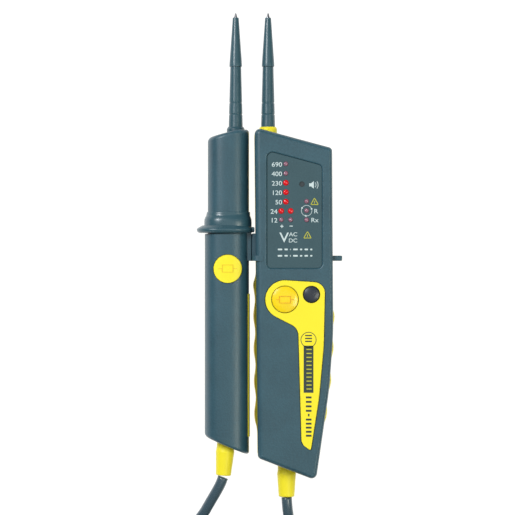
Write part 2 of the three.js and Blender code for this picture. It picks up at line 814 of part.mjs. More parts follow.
// ---------------------------------------------------------------- probes
function addProbe(unit, x, collarFinish, collarTaper) {
  const foot = sleeveFoot;
  addPiece(
    unit + "_rod",
    turnedAlong(
      [
        [0, foot - 6],
        [rodRadius + 0.6, foot - 6],
        [rodRadius + 0.6, foot - gap],
        [rodRadius, foot - gap],
        [rodRadius, tipTop - 3.2],
        [0.3, tipTop],
        [0, tipTop],
      ],
      x,
      probeAxisHeight,
      12,
    ),
    "steel",
  );
  const hole = rodRadius + gap;
  const { top, bottom } = sleeveRadius;
  const radiusAt = (y) => THREE.MathUtils.mapLinear(y, collarTop, sleeveTop, bottom, top);
  const groove = (y) => [
    [radiusAt(y - 0.8), y - 0.8],
    [radiusAt(y) - grooveDepth, y],
    [radiusAt(y + 0.8), y + 0.8],
  ];
  addPiece(
    unit + "_sleeve",
    turnedAlong(
      [
        [hole, foot],
        [sleeveRadius.bottom + 1.1, foot],
        [sleeveRadius.bottom + 1.1, foot + 2],
        [sleeveRadius.bottom, foot + 2],
        [sleeveRadius.bottom, collarTop],
        ...groove(82.6),
        ...groove(89.4),
        [sleeveRadius.top, sleeveTop],
        [hole, sleeveTop],
        [hole, foot],
      ],
      x,
      probeAxisHeight,
      18,
    ),
    "slate",
  );
  const inner = sleeveRadius.bottom + gap;
  const outer = collarRadius(collarWall);
  addPiece(
    unit + "_collar",
    turnedAlong(
      [
        [inner, foot + 2 + gap],
        [outer, foot + 2 + gap],
        [outer, collarTop - 2.6],
        [outer - collarTaper, collarTop],
        [inner, collarTop],
        [inner, foot + 2 + gap],
      ],
      x,
      probeAxisHeight,
      24,
    ),
    collarFinish,
  );
  addPiece(
    unit + "_tip_cap",
    turnedAlong(
      [
        [hole, sleeveTop + gap],
        [capRadius.bottom, sleeveTop + gap],
        [capRadius.top + 0.15, capTop - 0.6],
        [capRadius.top, capTop],
        [hole, capTop],
        [hole, sleeveTop + gap],
      ],
      x,
      probeAxisHeight,
      16,
    ),
    "slate",
  );
}

// ---------------------------------------------------------------- probe handle
const lowerX = handleX + handleShift;

// The handle's outer form, drawn in by inset all over
function handleForm(inset) {
  const upper = { x: handleX, width: upperHalf.width - inset, depth: upperHalf.depth - inset };
  const lower = { x: lowerX, width: lowerHalf.width - inset, depth: lowerHalf.depth - inset };
  const chamfer = 1.2;
  const shrink = (part) => ({ ...part, width: part.width - chamfer, depth: part.depth - chamfer });
  const top = handleTop - inset;
  const bottom = handleBottom + inset;
  const middle = inset > 0 ? handleStep - inset : handleStep;
  return column([
    { ...shrink(lower), y: bottom, lean: -handleTailSlope },
    { ...lower, y: bottom + chamfer, lean: -handleTailSlope },
    { ...lower, y: bottom + 30 },
    { ...lower, y: middle },
    { ...upper, y: middle + 0.01 },
    { ...upper, y: top - 25 },
    { ...upper, y: top - chamfer, lean: topSlope },
    { ...shrink(upper), y: top, lean: topSlope },
  ]);
}

const handleScrews = [
  { x: handleX, y: 46 },
  { x: lowerX, y: -84 },
];
const handleBoard = { high: probeAxisHeight - 0.4, top: 4, bottom: -62, half: 8 };

function reliefProfile(relief, neck, shoulder) {
  return [
    [0, relief.end],
    [relief.bottom - 0.5, relief.end],
    [relief.bottom, relief.end + 0.5],
    [relief.top, shoulder - 3],
    [relief.top - neckInset, shoulder],
    [relief.top - neckInset, neck],
    [relief.top + 1.2, neck],
    [relief.top + 1.2, neck + 2],
    [0, neck + 2],
  ];
}

function makeHandleShells() {
  const outer = handleForm(0);
  const hollow = handleForm(wall);
  const shoeRoom = block(
    shoe.left - gap,
    far,
    shoe.low - gap,
    handleStep + 2,
    shoe.bottom - gap,
    shoe.top + gap,
  );
  const railMiddle = (railLow + railHigh) / 2;
  const tongueRun = block(
    shoe.right - tongueDepth - running,
    far,
    shoe.low - undockTravel - 1,
    shoe.low,
    railMiddle - tongueHeadWidth / 2 - running,
    railMiddle + tongueHeadWidth / 2 + running,
  );
  const { x: buttonX, y: buttonY, radius: buttonRadius } = probeButton;
  const opening = post(buttonX, buttonY, buttonRadius + running, probeAxisHeight, far, 32);
  const reliefRadius = probeRelief.top - neckInset + gap;
  const reliefHole = bore(probeRelief.x, probeAxisHeight, reliefRadius, handleBottom - 30, handleBottom + 8);
  const cuts = [collarHole(mainTipX - tipPitch), reliefHole];
  const back = probeAxisHeight - lowerHalf.depth;
  const front = probeAxisHeight + lowerHalf.depth;
  const frontBosses = handleScrews.flatMap((s) => [
    boss(s, bossRadius, handleParting + gap / 2, probeAxisHeight + 8),
    block(s.x - 0.8, s.x + 0.8, s.y - 2, s.y + 2, probeAxisHeight + 7, front),
  ]);
  const backBosses = handleScrews.map((s) => boss(s, bossRadius, back + 1, handleParting - gap / 2));
  const keep = handleForm(wall / 2);
  const frontShell = union(
    minus(outer, hollow, below(handleParting + gap / 2)),
    ...frontBosses.map((b) => b.intersect(keep)),
  );
  addPiece(
    "probe_front_shell",
    minus(
      frontShell,
      shoeRoom,
      tongueRun,
      opening,
      ...cuts,
      ...handleScrews.map((s) => post(s.x, s.y, screwRadius + gap, 0, probeAxisHeight + 5, 12)),
    ),
    "slate",
  );
  const backShell = union(
    minus(outer, hollow, above(handleParting - gap / 2)),
    ...backBosses.map((b) => b.intersect(keep)),
  );
  const headTop = probeAxisHeight - upperHalf.depth + screwHeadHeight + 1.5;
  addPiece(
    "probe_back_shell",
    minus(
      backShell,
      ...cuts,
      ...handleScrews.map((s) => post(s.x, s.y, screwRadius + gap, -5, handleParting, 12)),
      ...handleScrews.map((s) => post(s.x, s.y, screwHead + gap, -5, headTop, 16)),
    ),
    "yellow",
  );
  const headLow = headTop - gap - screwHeadHeight;
  handleScrews.forEach((s, i) => {
    addPiece("probe_screw_" + (i + 1), screwSolid(s.x, s.y, headLow, probeAxisHeight + 4), "steel");
  });
}

// Finger guard: a bell and a flange round the upper handle, with the shoe that rides the dock rail
const shoe = {
  right: leftAt(0) - railReach - gap,
  low: guardTop - guardThickness,
  bottom: railLow + gap,
  top: railHigh,
};
shoe.left = shoe.right - 3.7;
const tongueDepth = 1.3 + tongueThickness; // from the shoe's outer face to the back of the tongue

function makeProbeGuard() {
  const flangeX = mainLeft - 0.6 - flangeHalf.width;
  const low = handleStep + gap;
  const high = low + flangeThickness;
  const flange = column(
    [
      { y: low, x: flangeX, width: flangeHalf.width - 1.6, depth: flangeHalf.depth - 1.6 },
      { y: low + 0.9, x: flangeX, width: flangeHalf.width - 0.3, depth: flangeHalf.depth - 0.3 },
      { y: low + 1.9, x: flangeX, width: flangeHalf.width, depth: flangeHalf.depth },
      { y: low + 2.9, x: flangeX, width: flangeHalf.width - 0.8, depth: flangeHalf.depth - 0.8 },
      { y: high, x: flangeX + 0.6, width: flangeHalf.width - 2.4, depth: flangeHalf.depth - 2 },
    ],
    32,
  );
  const bellTop = high + bellHeight;
  const neck = { width: upperHalf.width + gap, depth: upperHalf.depth + gap };
  const bell = column(
    [
      { y: high - 1, x: handleX - 0.3, ...bellHalf },
      { y: high + 3.4, x: handleX - 0.3, ...bellHalf },
      { y: high + 5.6, x: handleX - 0.2, width: bellHalf.width - 0.6, depth: bellHalf.depth - 0.7 },
      { y: bellTop - 0.4, x: handleX, width: neck.width + 0.7, depth: neck.depth + 0.7 },
      { y: bellTop, x: handleX, width: neck.width + 0.5, depth: neck.depth + 0.5 },
    ],
    32,
  );
  const opening = column([
    { y: low - 5, x: handleX, ...neck },
    { y: bellTop + 5, x: handleX, ...neck },
  ]);
  const middle = (railLow + railHigh) / 2;
  const foot = block(shoe.left, shoe.right, shoe.low, low + 1.5, shoe.bottom, shoe.top);
  const lip = 0.9;
  const clear = running;
  const slot = block(
    shoe.right - lip - 0.2,
    shoe.right + 5,
    shoe.low - 5,
    low,
    middle - tongueWidth / 2 - clear,
    middle + tongueWidth / 2 + clear,
  );
  const pocket = block(
    shoe.right - lip - tongueThickness - 2 * clear + 0.1,
    shoe.right - lip,
    shoe.low - 5,
    low,
    middle - tongueHeadWidth / 2 - clear,
    middle + tongueHeadWidth / 2 + clear,
  );
  addPiece("probe_guard", minus(union(minus(union(flange, bell), opening), foot), slot, pocket), "slate");
}

// The handle's button follows the round front of the handle and stands a little proud of it
function makeProbeButton() {
  const rimHigh = probeAxisHeight + 6.2;
  const rimLow = rimHigh - 1.2;
  const skirt = post(probeButton.x, probeButton.y, probeButton.radius, rimLow, far / 4, 32);
  const cap = skirt.intersect(handleForm(-probeButton.proud));
  const { x, y, radius, travel } = probeButton;
  const inside = post(x, y, radius - buttonWall, rimLow - 1, probeAxisHeight + 10, 24);
  const rim = minus(
    post(x, y, radius + 1, rimLow, rimHigh, 32),
    post(x, y, radius - buttonWall, rimLow - 1, rimHigh + 1, 24),
  );
  const stemLow = handleBoard.high + switchHeight + 0.5 + 2 * gap + travel;
  const stem = post(x, y, 2, stemLow, probeAxisHeight + 10.5, 12);
  addPiece("probe_load_button", union(minus(cap, inside), rim, stem), "yellow");
}

function addHandleInside() {
  const b = handleBoard;
  addPiece(
    "probe_circuit_board",
    minus(
      block(handleX - b.half, handleX + b.half - 0.4, b.bottom, b.top, b.high - boardThickness, b.high),
      ...handleScrews.map((s) => boss(s, bossRadius + gap, 0, bodyDepth)),
    ),
    "board",
  );
  addPiece("probe_load_switch", switchSolid(probeButton.x, probeButton.y, b.high + gap, 3), "black");
  const foot = b.high + gap;
  addPiece("probe_load_resistor", block(handleX - 4.5, handleX + 3.5, -52, -30, foot, foot + 6.5), "ceramic");
}

// ---------------------------------------------------------------- strain reliefs
function addReliefs() {
  const neck = bottomAt(mainRelief.x) + 6;
  addPiece(
    "main_strain_relief",
    turnedAlong(reliefProfile(mainRelief, neck, bottomAt(mainRelief.x) - 1.6), mainRelief.x, reliefHeight),
    "yellow",
  );
  const handleNeck = handleBottom + 4.5 + wall;
  const profile = reliefProfile(probeRelief, handleNeck, handleBottom - 1.4);
  const leaning = turnedAlong(profile, probeRelief.x, probeAxisHeight, 20, probeRelief.tilt, handleBottom);
  addPiece("probe_strain_relief", leaning, "yellow");
}

// ---------------------------------------------------------------- the lead
// Points of the two free stretches, from each relief to the coil, in the finished part's frame
const mainLead = [
  [10.3, -142.6, 15],
  [10.5, -146.5, 14.9],
  [10.9, -150.4, 14.3],
  [11.5, -154.3, 13.2],
  [12.6, -159.4, 11.3],
  [13.8, -163.2, 9.8],
  [15.2, -166.8, 8.2],
  [16.8, -170.4, 6.7],
];
const probeLead = [
  [-27.1, -130.6, 18],
  [-29, -135.4, 17.6],
  [-30.9, -138.9, 16.8],
  [-33.5, -143.4, 15.2],
  [-36.1, -147.9, 13.2],
  [-38, -151.3, 11.6],
  [-41, -155.6, 9.6],
  [-44.3, -159.6, 7.8],
  [-48.2, -163, 6.5],
  [-51, -165.8, 6.2],
  [-54.4, -169.7, 6.8],
];

function addLead() {
  addPiece("lead_main_run", tube(mainLead, leadRadius, 10), "lead", leadGroup);
  addPiece("lead_probe_run", tube(probeLead, leadRadius, 14), "lead", leadGroup);
  const half = (coil.rows * leadPitch) / 2;
  const [inside, outside] = [coil.radius - half, coil.radius + half];
  const top = coil.lift + coil.rows * leadPitch;
  const ring = [
    [inside, coil.lift],
    [outside, coil.lift],
    [outside, top],
    [inside, top],
    [inside, coil.lift],
  ];
  addPiece("lead_coil", turnedUp(ring, coil.x, coil.y, 36), "lead", leadGroup);
  const band = (width, clear) =>
    block(
      coil.x - width / 2,
      coil.x + width / 2,
      coil.y - outside - clear,
      coil.y - inside + tie.bulge + clear,
      coil.lift - clear,
      top + clear,
    );
  const strap = minus(band(tie.width, gap + tie.thickness), band(tie.width + 2, gap));
  addPiece("lead_tie", strap, "rubber", leadGroup);
}

// ---------------------------------------------------------------- put together
addPiece("main_front_shell", makeFrontShell(), "slate");
addPiece("main_back_shell", makeBackShell(), "yellow");

const panelLow = bodyDepth - recessDepth + gap;
const panel = prism(outline(recessCorners, gap), panelLow, panelLow + panelThickness);
const soundHole = post(buzzer.x, buzzer.y, buzzer.hole, 0, bodyDepth, 12);
addPiece("display_panel", minus(panel, soundHole, ...lampHoles()), "panel");

const inlay = inlaySolid(bodyDepth - inlayDepth + gap, bodyDepth + inlayProud, 0);
addPiece("control_inlay", minus(inlay, buttonHole(loadButton, 32), buttonHole(torchButton, 24)), "yellow");

addMainInside();
addBatteryPieces();
addBatteryCover();
screws.forEach((s, i) => {
  addPiece("shell_screw_" + (i + 1), screwSolid(s.x, s.y, 2 * gap, boardTop - 1), "steel");
});
const rimHigh = ceiling - gap;
const stemLow = boardTop + gap + switchHeight + 0.5 + gap;
const front = bodyDepth + inlayProud;
addPiece("main_load_button", buttonSolid(loadButton, front + 1.1, rimHigh, stemLow), "amber");
addPiece("torch_button", buttonSolid(torchButton, front + 0.9, rimHigh, stemLow), "torch");
addProbe("main", mainTipX, "yellow", 0.5);
addProbe("probe", mainTipX - tipPitch, "slate", 0.7);
makeHandleShells();
makeProbeGuard();
makeProbeButton();
addHandleInside();
addReliefs();
addLead();

// The origin is under the middle of the tester's own box, without the lead
const box = new THREE.Box3().setFromObject(object);
object.position.set(-(box.min.x + box.max.x) / 2, -(box.min.y + box.max.y) / 2, -box.min.z);

export default tester;
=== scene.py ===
import math

import bmesh
import bpy
import numpy as np
from mathutils import Matrix, Vector


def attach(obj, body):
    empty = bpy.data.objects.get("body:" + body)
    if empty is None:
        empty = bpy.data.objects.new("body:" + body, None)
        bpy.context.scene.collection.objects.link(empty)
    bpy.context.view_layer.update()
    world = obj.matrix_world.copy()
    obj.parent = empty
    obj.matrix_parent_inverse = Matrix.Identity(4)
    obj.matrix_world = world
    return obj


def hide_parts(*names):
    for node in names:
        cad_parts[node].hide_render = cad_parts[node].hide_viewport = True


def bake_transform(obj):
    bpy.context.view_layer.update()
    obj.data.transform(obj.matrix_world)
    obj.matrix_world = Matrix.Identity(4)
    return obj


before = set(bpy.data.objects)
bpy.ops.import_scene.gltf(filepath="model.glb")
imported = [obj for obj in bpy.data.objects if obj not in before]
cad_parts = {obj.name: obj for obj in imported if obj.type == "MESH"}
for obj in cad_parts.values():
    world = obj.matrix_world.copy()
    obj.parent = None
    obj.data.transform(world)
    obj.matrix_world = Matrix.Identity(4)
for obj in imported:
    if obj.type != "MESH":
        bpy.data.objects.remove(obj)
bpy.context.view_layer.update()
for spare in ("Cube", "Light", "Camera"):
    if spare in bpy.data.objects:
        bpy.data.objects.remove(bpy.data.objects[spare])

mm = 0.001
drawingShift = np.array([1.65, 0.05, 0.0])  # the drawing's axes in the frame's, in mm
mending = {"merge": 2e-6, "sliver": 1e-6, "flat": 0.4}  # metres, metres, degrees


# camera, then the lead
view = {
    "centre": (-6.85, -1.45),  # what the camera looks straight down on, in mm
    "width": 301.3,  # seen at the height below, in mm
    "focusHeight": 26.0,
    "lens": 200.0,
    "sensor": 36.0,
}


def makeCamera():
    # distance = half the width / tan(half the angle), and tan = half the sensor / lens
    distance = view["width"] / view["sensor"] * view["lens"]
    data = bpy.data.cameras.new("copyStand")
    data.lens = view["lens"]
    data.sensor_width = view["sensor"]
    data.clip_end = 20
    camera = bpy.data.objects.new("copyStand", data)
    x, y = view["centre"]
    camera.location = (x * mm, y * mm, (distance + view["focusHeight"]) * mm)
    bpy.context.collection.objects.link(camera)
    bpy.context.scene.camera = camera


makeCamera()
print("camera ready")


# shapes worked out with numpy
def linear(red, green, blue):
    # a colour read off a screen, 0 to 255, as the shader's linear values
    value = np.array([red, green, blue]) / 255
    bright = ((value + 0.055) / 1.055) ** 2.4
    return (*np.where(value <= 0.04045, value / 12.92, bright).tolist(), 1.0)


def ease(t):
    # 0 to 1 with level ends: 3t^2 - 2t^3
    t = np.clip(t, 0, 1)
    return t * t * (3 - 2 * t)


def filletPath(corners, inset=0.0, closed=True, steps=8):
    # Each corner (x, y, radius) becomes an arc: with A and B the tangent points, C the corner and w the
    # cosine of half the turn, P(t) = ((1-t)^2 A + 2t(1-t)w C + t^2 B) / ((1-t)^2 + 2t(1-t)w + t^2).
    corners = np.asarray(corners, float)
    place, radius = corners[:, :2], corners[:, 2]
    ahead = np.roll(place, -1, 0) - place
    ahead /= np.maximum(np.linalg.norm(ahead, axis=1), 1e-9)[:, None]
    behind = np.roll(ahead, 1, 0)
    if not closed:
        behind[0], ahead[-1] = ahead[0], behind[-1]
    cross = behind[:, 0] * ahead[:, 1] - behind[:, 1] * ahead[:, 0]
    turn = np.arctan2(cross, (behind * ahead).sum(1))
    inwards = np.stack([-behind[:, 1] - ahead[:, 1], behind[:, 0] + ahead[:, 0]], 1)
    inwards /= np.linalg.norm(inwards, axis=1)[:, None]
    place = place + inwards * (inset / np.cos(turn / 2))[:, None]
    radius = np.where(radius > 0, np.maximum(radius - inset * np.sign(turn), 0.05), 0)
    reach = radius * np.tan(np.abs(turn) / 2)
    start, end = place - behind * reach[:, None], place + ahead * reach[:, None]
    t = np.linspace(0, 1, steps + 1)[None, :, None]
    w = np.cos(turn / 2)[:, None, None]
    top = (1 - t) ** 2 * start[:, None] + 2 * t * (1 - t) * w * place[:, None] + t * t * end[:, None]
    path = (top / ((1 - t) ** 2 + 2 * t * (1 - t) * w + t * t)).reshape(-1, 2)
    step = np.linalg.norm(path - np.roll(path, 1, 0), axis=1)
    if not closed:
        step[0] = 1
    return path[step > 1e-4]


def evenPath(path, spacing):
    # a closed path walked at even steps, so that waves and roundings run smoothly along it
    loop = np.vstack([path, path[:1]])
    along = np.concatenate([[0], np.cumsum(np.linalg.norm(np.diff(loop, axis=0), axis=1))])
    count = int(along[-1] / spacing)
    extra = np.linspace(0, along[-1], count, endpoint=False)
    stations = np.unique(np.round(np.concatenate([extra, along[:-1]]), 4))
    stations = stations[np.concatenate([[True], np.diff(stations) > 0.05])]
    return np.stack([np.interp(stations, along, loop[:, k]) for k in (0, 1)], 1)


def outwardNormals(path):
    # square to the chord between the two neighbours of each point, for a counter-clockwise path
    chord = np.roll(path, -1, 0) - np.roll(path, 1, 0)
    normal = np.stack([chord[:, 1], -chord[:, 0]], 1)
    return normal / np.linalg.norm(normal, axis=1)[:, None]


def gridFaces(rows, columns, closedRows=False, closedColumns=True):
    # quads of a grid whose points are numbered row by row
    i, j = np.meshgrid(
        np.arange(rows if closedRows else rows - 1),
        np.arange(columns if closedColumns else columns - 1),
        indexing="ij",
    )
    down, right = (i + 1) % rows, (j + 1) % columns
    here, below = i * columns, down * columns
    return np.stack([here + j, here + right, below + right, below + j], -1).reshape(-1, 4)


def cappedFaces(rows, columns):
    # the same grid, closed by one flat face at each end
    faces = gridFaces(rows, columns).tolist()
    return faces + [list(range(columns)), list(range((rows - 1) * columns, rows * columns))]


def makeMesh(name, points, faces, drawn=True):
    # points in mm, on the drawing's axes unless drawn is False
    points = np.asarray(points, float).reshape(-1, 3) + (drawingShift if drawn else 0)
    mesh = bpy.data.meshes.new(name)
    mesh.from_pydata((points * mm).tolist(), [], [list(f) for f in faces])
    piece = bpy.data.objects.new(name, mesh)
    bpy.context.collection.objects.link(piece)
    work = bmesh.new()
    work.from_mesh(mesh)
    bmesh.ops.remove_doubles(work, verts=work.verts, dist=mending["merge"])
    bmesh.ops.recalc_face_normals(work, faces=work.faces)
    work.to_mesh(mesh)
    work.free()
    return piece


def sweptSolid(name, path, profile, reach=None):
    # P(i, j) = path(j) - normal(j) * inset(i) * reach(j), at height(i), with flat ends
    profile = np.asarray(profile, float)
    share = np.ones(len(path)) if reach is None else reach
    inset = profile[:, 0, None] * share[None]
    flat = path[None] - outwardNormals(path)[None] * inset[..., None]
    height = np.broadcast_to(profile[:, 1, None, None], (*inset.shape, 1))
    points = np.concatenate([flat, height], 2)
    return makeMesh(name, points, cappedFaces(*inset.shape))


def roundedRise(low, high, round, lowRound=0.0, steps=7, drop=None):
    # a wall's profile, from a rounded foot to a rounded top:
    # inset = r(1 - cos a), height = top - d(1 - sin a)
    angle = np.linspace(0, math.pi / 2, steps)
    drop = round if drop is None else drop
    top = np.stack([round * (1 - np.cos(angle)), high - drop * (1 - np.sin(angle))], 1)
    foot = np.stack([lowRound * (1 - np.cos(angle)), low + lowRound * (1 - np.sin(angle))], 1)[::-1]
    return np.vstack([foot if lowRound else foot[:1], top])


def turnedSolid(name, profile, centre, sides=64, axis="y"):
    # P(i, j) = centre + radius(i) * (cos a(j), sin a(j)) square to the axis + along(i) on the axis
    profile = np.asarray(profile, float)
    angle = np.linspace(0, 2 * math.pi, sides, endpoint=False)
    across = profile[:, 0, None] * np.cos(angle), profile[:, 0, None] * np.sin(angle)
    along = np.broadcast_to(profile[:, 1, None], across[0].shape)
    order = [across[0], along, across[1]] if axis == "y" else [*across, along]
    points = np.stack(order, -1) + np.asarray(centre, float)
    closed = bool(np.allclose(profile[0], profile[-1]))
    rows = len(profile) - (1 if closed else 0)
    return makeMesh(name, points[:rows], gridFaces(rows, sides, closedRows=closed))


def softLine(points, radii, steps=6):
    # an open or closed profile whose corners are rounded, each by its own radius
    corners = np.column_stack([np.asarray(points, float), radii])
    return filletPath(corners, closed=False, steps=steps)


def tubeAlong(name, points, radius, sides):
    # P(i, j) = route(i) + r (cos a n + sin a b), n level and square to the route, ends closed
    tangent = np.gradient(points, axis=0)
    tangent /= np.linalg.norm(tangent, axis=1)[:, None]
    normal = np.cross(tangent, [0, 0, 1])
    normal /= np.linalg.norm(normal, axis=1)[:, None]
    side = np.cross(tangent, normal)
    angle = np.linspace(0, 2 * math.pi, sides, endpoint=False)[None, :, None]
    ring = points[:, None] + radius * (np.cos(angle) * normal[:, None] + np.sin(angle) * side[:, None])
    return makeMesh(name, ring, cappedFaces(len(points), sides), drawn=False)


lead = {
    "diameter": 6.2,
    "turnPitch": 6.3,  # between neighbouring turns
    "coilCentre": (-19.0, -203.0),
    "coilRadius": 37.0,  # at the middle of its turns
    "coilLift": 0.9,
    "turns": 3.5,
    "sides": 24,
    "step": 1.3,
    "mainExit": (10.3, -142.6, 15.0),
    "mainRun": [(10.6, -147.2), (11.3, -153.0), (12.7, -159.6), (15.2, -166.8), (18.8, -174.6)],
    "mainDrop": (1.5, 40.0),  # from how far along the run, and over how far, it comes down
    "joinAngle": 25.0,  # where it meets the outermost turn, in degrees
    "probeExit": (-27.1, -130.6, 18.0),
    "probeRun": [
        (-28.6, -134.5), (-31.0, -139.1), (-33.6, -143.6), (-36.1, -148.0), (-38.5, -152.1),
        (-43.4, -158.6), (-49.2, -164.0), (-54.6, -169.9), (-58.0, -177.0), (-59.1, -186.0),
        (-59.2, -195.0),
    ],
    "probeDrop": (0.5, 44.0),
    "probeRise": (40.0, 30.0),
    "restHeight": 6.0,
    "shiftSpan": 53.0,  # how much of a turn a change of place takes, in degrees
    "shiftStarts": (86.0, 132.0, 178.0),
}


def smoothRoute(points, spacing):
    # Catmull-Rom, then walked at even steps:
    # P(t) = (2B + (C-A)t + (2A-5B+4C-D)t^2 + (3B-A-3C+D)t^3) / 2
    p = np.asarray(points, float)
    padded = np.vstack([2 * p[0] - p[1], p, 2 * p[-1] - p[-2]])
    a, b, c, d = padded[:-3, None], padded[1:-2, None], padded[2:-1, None], padded[3:, None]
    t = np.linspace(0, 1, 24, endpoint=False)[None, :, None]
    curve = (2 * b + (c - a) * t + (2 * a - 5 * b + 4 * c - d) * t**2 + (3 * b - a - 3 * c + d) * t**3) / 2
    curve = np.vstack([curve.reshape(-1, p.shape[1]), p[-1]])
    along = np.concatenate([[0], np.cumsum(np.linalg.norm(np.diff(curve, axis=0), axis=1))])
    stations = np.linspace(0, along[-1], max(2, int(round(along[-1] / spacing)) + 1))
    return np.stack([np.interp(stations, along, curve[:, k]) for k in range(p.shape[1])], 1)


def walked(flat):
    # how far along a line each of its points is
    return np.concatenate([[0], np.cumsum(np.linalg.norm(np.diff(flat, axis=0), axis=1))])


def leadRoute():
    # main unit -> three and a half clockwise turns in two layers -> probe handle
    cx, cy = lead["coilCentre"]
    pitch = lead["turnPitch"]
    inner, outer = lead["coilRadius"] - pitch / 2, lead["coilRadius"] + pitch / 2
    low, high = lead["coilLift"] + pitch / 2, lead["coilLift"] + 1.5 * pitch
    join = math.radians(lead["joinAngle"])

    joinRadius = outer + lead["diameter"]
    meet = (cx + joinRadius * math.cos(join), cy + joinRadius * math.sin(join))
    flat = smoothRoute([lead["mainExit"][:2], *lead["mainRun"], meet], lead["step"])
    start, reach = lead["mainDrop"]
    top = lead["mainExit"][2]
    mainRun = np.column_stack([flat, top - (top - low) * ease((walked(flat) - start) / reach)])

    # a turn keeps its place below the middle of the coil, and above it moves on to the next place:
    # outer low, inner low, inner high, outer high
    turn = np.arange(-join, lead["turns"] * 2 * math.pi, lead["step"] / outer)

    def moved(fullTurns, start):
        # 0 before a change of place, 1 after it
        since = turn - fullTurns * 2 * math.pi + math.radians(start)
        return ease(since / math.radians(lead["shiftSpan"]))

    inwards, upwards, outwards = (moved(i + 1, start) for i, start in enumerate(lead["shiftStarts"]))
    radius = outer + (inner - outer) * (inwards - outwards)
    radius = radius + lead["diameter"] * (1 - ease((turn + join) / (2 * join)))
    height = low + (high - low) * upwards
    coil = np.stack([cx + radius * np.cos(turn), cy - radius * np.sin(turn), height], 1)

    flat = smoothRoute([lead["probeExit"][:2], *lead["probeRun"], tuple(coil[-1, :2])], lead["step"])
    along = walked(flat)
    start, reach = lead["probeDrop"]
    rest, top = lead["restHeight"], lead["probeExit"][2]
    fall = top - (top - rest) * ease((along - start) / reach)
    start, reach = lead["probeRise"]
    climb = (high - rest) * ease((along - start) / reach)
    probeRun = np.column_stack([flat, fall + climb])[::-1]
    return np.vstack([mainRun[:-1], coil, probeRun[1:]])


def makeLead():
    # a round section carried along the route; its length is the sum of the route's steps
    route = leadRoute()
    piece = tubeAlong("flexibleLead", route, lead["diameter"] / 2, lead["sides"])
    length = float(np.linalg.norm(np.diff(route, axis=0), axis=1).sum())
    print("lead %.0f mm long" % length)
    return piece, route, length


# working on a piece
def settle(piece):
    # its modifiers become its mesh
    graph = bpy.context.evaluated_depsgraph_get()
    mesh = bpy.data.meshes.new_from_object(piece.evaluated_get(graph))
    piece.modifiers.clear()
    piece.data = mesh
    return piece


def shaped(piece, joined=(), cut=(), kept=()):
    # joined solids are added, cut ones taken away, and only what lies in the kept ones stays
    for others, operation in ((joined, "UNION"), (cut, "DIFFERENCE"), (kept, "INTERSECT")):
        for other in others:
            step = piece.modifiers.new(operation, "BOOLEAN")
            step.operation = operation
            step.solver = "MANIFOLD"
            step.object = other
    settle(piece)
    for other in (*joined, *cut, *kept):
        bpy.data.objects.remove(other)
    return piece


edgeMark = {
    "fullFold": 15.0,  # degrees
    "largestFace": 1.2e-6,  # square metres
    "levelFrom": 0.9995,  # how much of a normal points along Z
}


def edgeShare(mesh):
    # for each face the sharpest outward fold at its sides, as a share of the full fold, given to
    # each of its corners, and only on the small faces of a rounding that aren't level
    sides = np.empty(len(mesh.polygons), np.int32)
    mesh.polygons.foreach_get("loop_total", sides)
    normals = np.empty(len(mesh.polygons) * 3, np.float32)
    mesh.polygons.foreach_get("normal", normals)
    centres = np.empty(len(mesh.polygons) * 3, np.float32)
    mesh.polygons.foreach_get("center", centres)
    area = np.empty(len(mesh.polygons), np.float32)
    mesh.polygons.foreach_get("area", area)
    loopEdges = np.empty(len(mesh.loops), np.int32)
    mesh.loops.foreach_get("edge_index", loopEdges)
    owner = np.repeat(np.arange(len(sides)), sides)
    order = np.argsort(loopEdges, kind="stable")
    first, count = np.unique(loopEdges[order], return_index=True, return_counts=True)[1:]
    pair = first[count == 2]
    a, b = owner[order[pair]], owner[order[pair + 1]]
    normals, centres = normals.reshape(-1, 3), centres.reshape(-1, 3)
    fold = np.degrees(np.arccos(np.clip((normals[a] * normals[b]).sum(1), -1, 1)))
    outwards = ((centres[b] - centres[a]) * normals[a]).sum(1) < 0
    share = np.clip(fold / edgeMark["fullFold"], 0, 1) * outwards
    value = np.zeros(len(sides), np.float32)
    np.maximum.at(value, a, share)
    np.maximum.at(value, b, share)
    small, slanted = area < edgeMark["largestFace"], np.abs(normals[:, 2]) < edgeMark["levelFrom"]
    return np.repeat(value * small * slanted, sides)


def finished(piece, material, body, replaced=(), soften=0.0, sharp=38.0):
    # rounds the sharp edges by soften mm, shades flats flat and curves smooth, and gives the piece its
    # material and its body
    work = bmesh.new()
    work.from_mesh(piece.data)
    bmesh.ops.remove_doubles(work, verts=work.verts, dist=mending["merge"])
    bmesh.ops.dissolve_degenerate(work, edges=work.edges, dist=mending["sliver"])
    flat = math.radians(mending["flat"])
    bmesh.ops.dissolve_limit(work, angle_limit=flat, verts=work.verts, edges=work.edges)
    work.to_mesh(piece.data)
    work.free()
    if soften:
        bevel = piece.modifiers.new("softEdge", "BEVEL")
        bevel.width = soften * mm
        bevel.segments = 2
        bevel.limit_method = "ANGLE"
        bevel.angle_limit = math.radians(sharp)
        bevel.miter_outer = "MITER_ARC"
        settle(piece)
    piece.data.shade_smooth()
    piece.data.set_sharp_from_angle(angle=math.radians(sharp))
    even = piece.modifiers.new("evenShade", "WEIGHTED_NORMAL")
    even.keep_sharp = True
    settle(piece)
    edge = piece.data.attributes.new("edge", "FLOAT", "CORNER")
    edge.data.foreach_set("value", edgeShare(piece.data))
    piece.data.materials.clear()
    piece.data.materials.append(material)
    if body:
        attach(piece, body)
    if replaced:
        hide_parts(*replaced)
    return piece


def refined(node, material, body, soften=0.15, name=None):
    # a CAD node whose shape is right, merged and with its edges rounded
    piece = bpy.data.objects.new(name or node + "Fine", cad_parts[node].data.copy())
    bpy.context.collection.objects.link(piece)
    return finished(piece, material, body, [node], soften)


